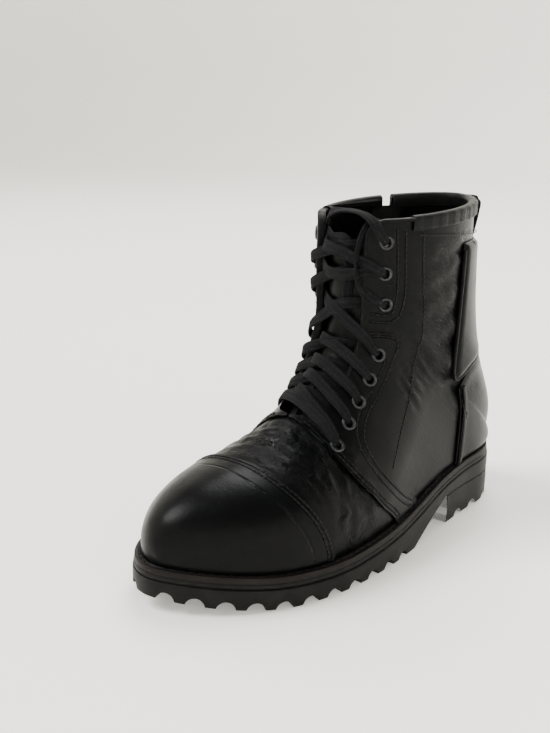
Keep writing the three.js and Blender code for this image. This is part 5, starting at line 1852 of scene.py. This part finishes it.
def build_zip():
    def tape_field(points, section, turn):
        side = ZIP_TAPE_HALF - np.abs(points[:, 1] - zip_line(points[:, 2]))
        return np.minimum(side, np.minimum(points[:, 2] - ZIP_BOTTOM + 4, ZIP_TOP - points[:, 2]))

    def lift(d):
        return -WALL - 0.4 + 0 * d

    tape = sheet("zip_tape_cloth", (11.0, COLLAR_ROW), (-0.85, -0.35), 1.6, tape_field, lift, (), 0.0)
    thicken(tape, 0.8)
    finish_piece(tape, TAPE, stands_for=["zip_tape"], slot="zip_cloth")
    shape, faces = model_tooth()
    points, all_faces = [], []
    for row, offset in enumerate((-1.1, 1.1)):
        heights = np.arange(ZIP_BOTTOM + 2 + row * TOOTH_PITCH / 2, ZIP_TOP - 1, TOOTH_PITCH)
        at, normal = zip_place(heights, offset, -1.6)
        ahead, _ = zip_place(heights + 0.5, offset, -1.6)
        up = unit(ahead - at)
        across = np.cross(normal, up)
        for k in range(len(heights)):
            start = len(points) * len(shape)
            tooth = shape * TOOTH
            placed = tooth[:, :1] * across[k] + tooth[:, 1:2] * up[k] + tooth[:, 2:] * normal[k]
            points.append(placed + at[k])
            all_faces += [[start + i for i in face] for face in faces]
    obj = piece_of("zip_teeth_rows", points, all_faces)
    finish_piece(obj, METAL, stands_for=["zip_teeth"], slot="gunmetal", angle=30)
    for side in (-1, 1):
        heights = np.linspace(ZIP_BOTTOM + 1, ZIP_TOP - 8, 60)
        at, normal = zip_place(heights, side * (ZIP_SLOT / 2 + 2.2), 0.15)
        upper_stitches.row(at, normal, 2.9, 2.2, 0.8, 0.05)
    for name in ("zip_slider", "zip_pull_tab"):
        obj = bpy.data.objects[name]
        for slot in obj.material_slots:
            slot.material = METAL


build_zip()


def build_insole():
    """The insole with a cloth cover, on the shape of its solid."""
    source = bpy.data.objects["insole"]
    only(source)
    bpy.ops.object.duplicate()
    obj = bpy.context.object
    obj.name = "insole_cover"
    obj.data = obj.data.copy()
    obj.data.name = "insole_cover"
    obj.data.materials.clear()
    outward(obj)
    flat = read_points(obj) / MM
    set_map(obj, flat[:, 0] / 100, flat[:, 1] / 100)
    finish_piece(obj, LINING, stands_for=["insole"], slot="lining")


build_insole()


def on_side(curve, side):
    """Side-view places as points and normals on the last, without its folds."""
    section, turn = locate(curve[:, 0], curve[:, 1])
    return last_point(section, side * turn), last_normal(section, side * turn)


def build_trims():
    """Piping along the lateral pad's front seam and a rounded strip beside the counter's front."""
    curve = resampled(PAD_FRONT, 90)
    base, normal = on_side(curve[curve[:, 1] < 0.872 * SHAFT_HEIGHT], 1)
    piping = ribbon("pad_piping_lateral", base + normal * 1.5, normal, 2.0, 2.2)
    mark_trim(piping, 0.2)
    finish_piece(piping, EDGE, slot="upper_leather", angle=60)
    for side, word in SIDES:
        base, normal = on_side(on_welt(beside(COUNTER_FRONT, -4.0)), side)
        ridge = ribbon(f"counter_ridge_{word}", base + normal * (GAP + COUNTER + 0.2), normal, 3.4, 1.6)
        mark_trim(ridge, 0.1)
        finish_piece(ridge, EDGE, slot="upper_leather", angle=60)


build_trims()


# Floor and light

FLOOR_RADIUS = 2.5  # of the flat middle, in metres
# Half width and height of the floor's raised rim, in metres, from the flat middle outwards
DISH = [(2.9, 0.03), (3.2, 0.14), (3.45, 0.36), (3.6, 0.7), (3.65, 1.2), (3.65, 2.6)]
# Where each lamp stands, how wide it looks in degrees, and its strength
LAMPS = [((-0.7, -0.75, 1.25), 31, 4.2), ((-0.45, 0.8, 1.35), 34, 3.0), ((0.9, -0.9, 0.6), 60, 0.12)]
FLOOR_GLOW = 0.27
ROOM_LIGHT = 0.42


def build_stage():
    """A pale round floor with a raised rim, under a soft key, a back light and a weak fill."""
    bpy.ops.object.select_all(action="DESELECT")
    bpy.ops.mesh.primitive_circle_add(vertices=96, radius=FLOOR_RADIUS, fill_type="NGON", location=(0, 0, 0))
    floor = bpy.context.object
    floor.name = "floor"
    bpy.ops.object.mode_set(mode="EDIT")
    bpy.ops.mesh.select_mode(type="EDGE")
    bpy.ops.mesh.select_all(action="SELECT")
    bpy.ops.mesh.region_to_loop()
    radius, height = FLOOR_RADIUS, 0.0
    for wider, higher in DISH:
        bpy.ops.mesh.extrude_region_move(TRANSFORM_OT_translate={"value": (0, 0, higher - height)})
        bpy.ops.transform.resize(value=(wider / radius, wider / radius, 1), center_override=(0, 0, 0))
        radius, height = wider, higher
    bpy.ops.object.mode_set(mode="OBJECT")
    smooth(floor, 80)
    made, tree, shader = material("pale_floor", 0.75)
    solid = node(tree, "ShaderNodeTexCoord").outputs["Object"]
    blend_colours(tree, shader, noise(tree, solid, 3, 3), (0.9, 0.885, 0.835), (0.93, 0.915, 0.865))
    floor.data.materials.append(made)
    world = bpy.data.worlds.new("studio")
    bpy.context.scene.world = world
    world.use_nodes = True
    room = world.node_tree.nodes["Background"]
    room.inputs["Color"].default_value = (1.0, 0.985, 0.95, 1)
    room.inputs["Strength"].default_value = ROOM_LIGHT
    shader.inputs["Emission Color"].default_value = (1.0, 0.985, 0.93, 1)
    shader.inputs["Emission Strength"].default_value = FLOOR_GLOW
    for place, spread, power in LAMPS:
        bpy.ops.object.light_add(type="SUN", location=place)
        lamp = bpy.context.object
        lamp.data.angle = math.radians(spread)
        lamp.data.energy = power
        lamp.rotation_euler = Vector(place).to_track_quat("Z", "Y").to_euler()


build_stage()
upper_stitches.build("upper_leather")
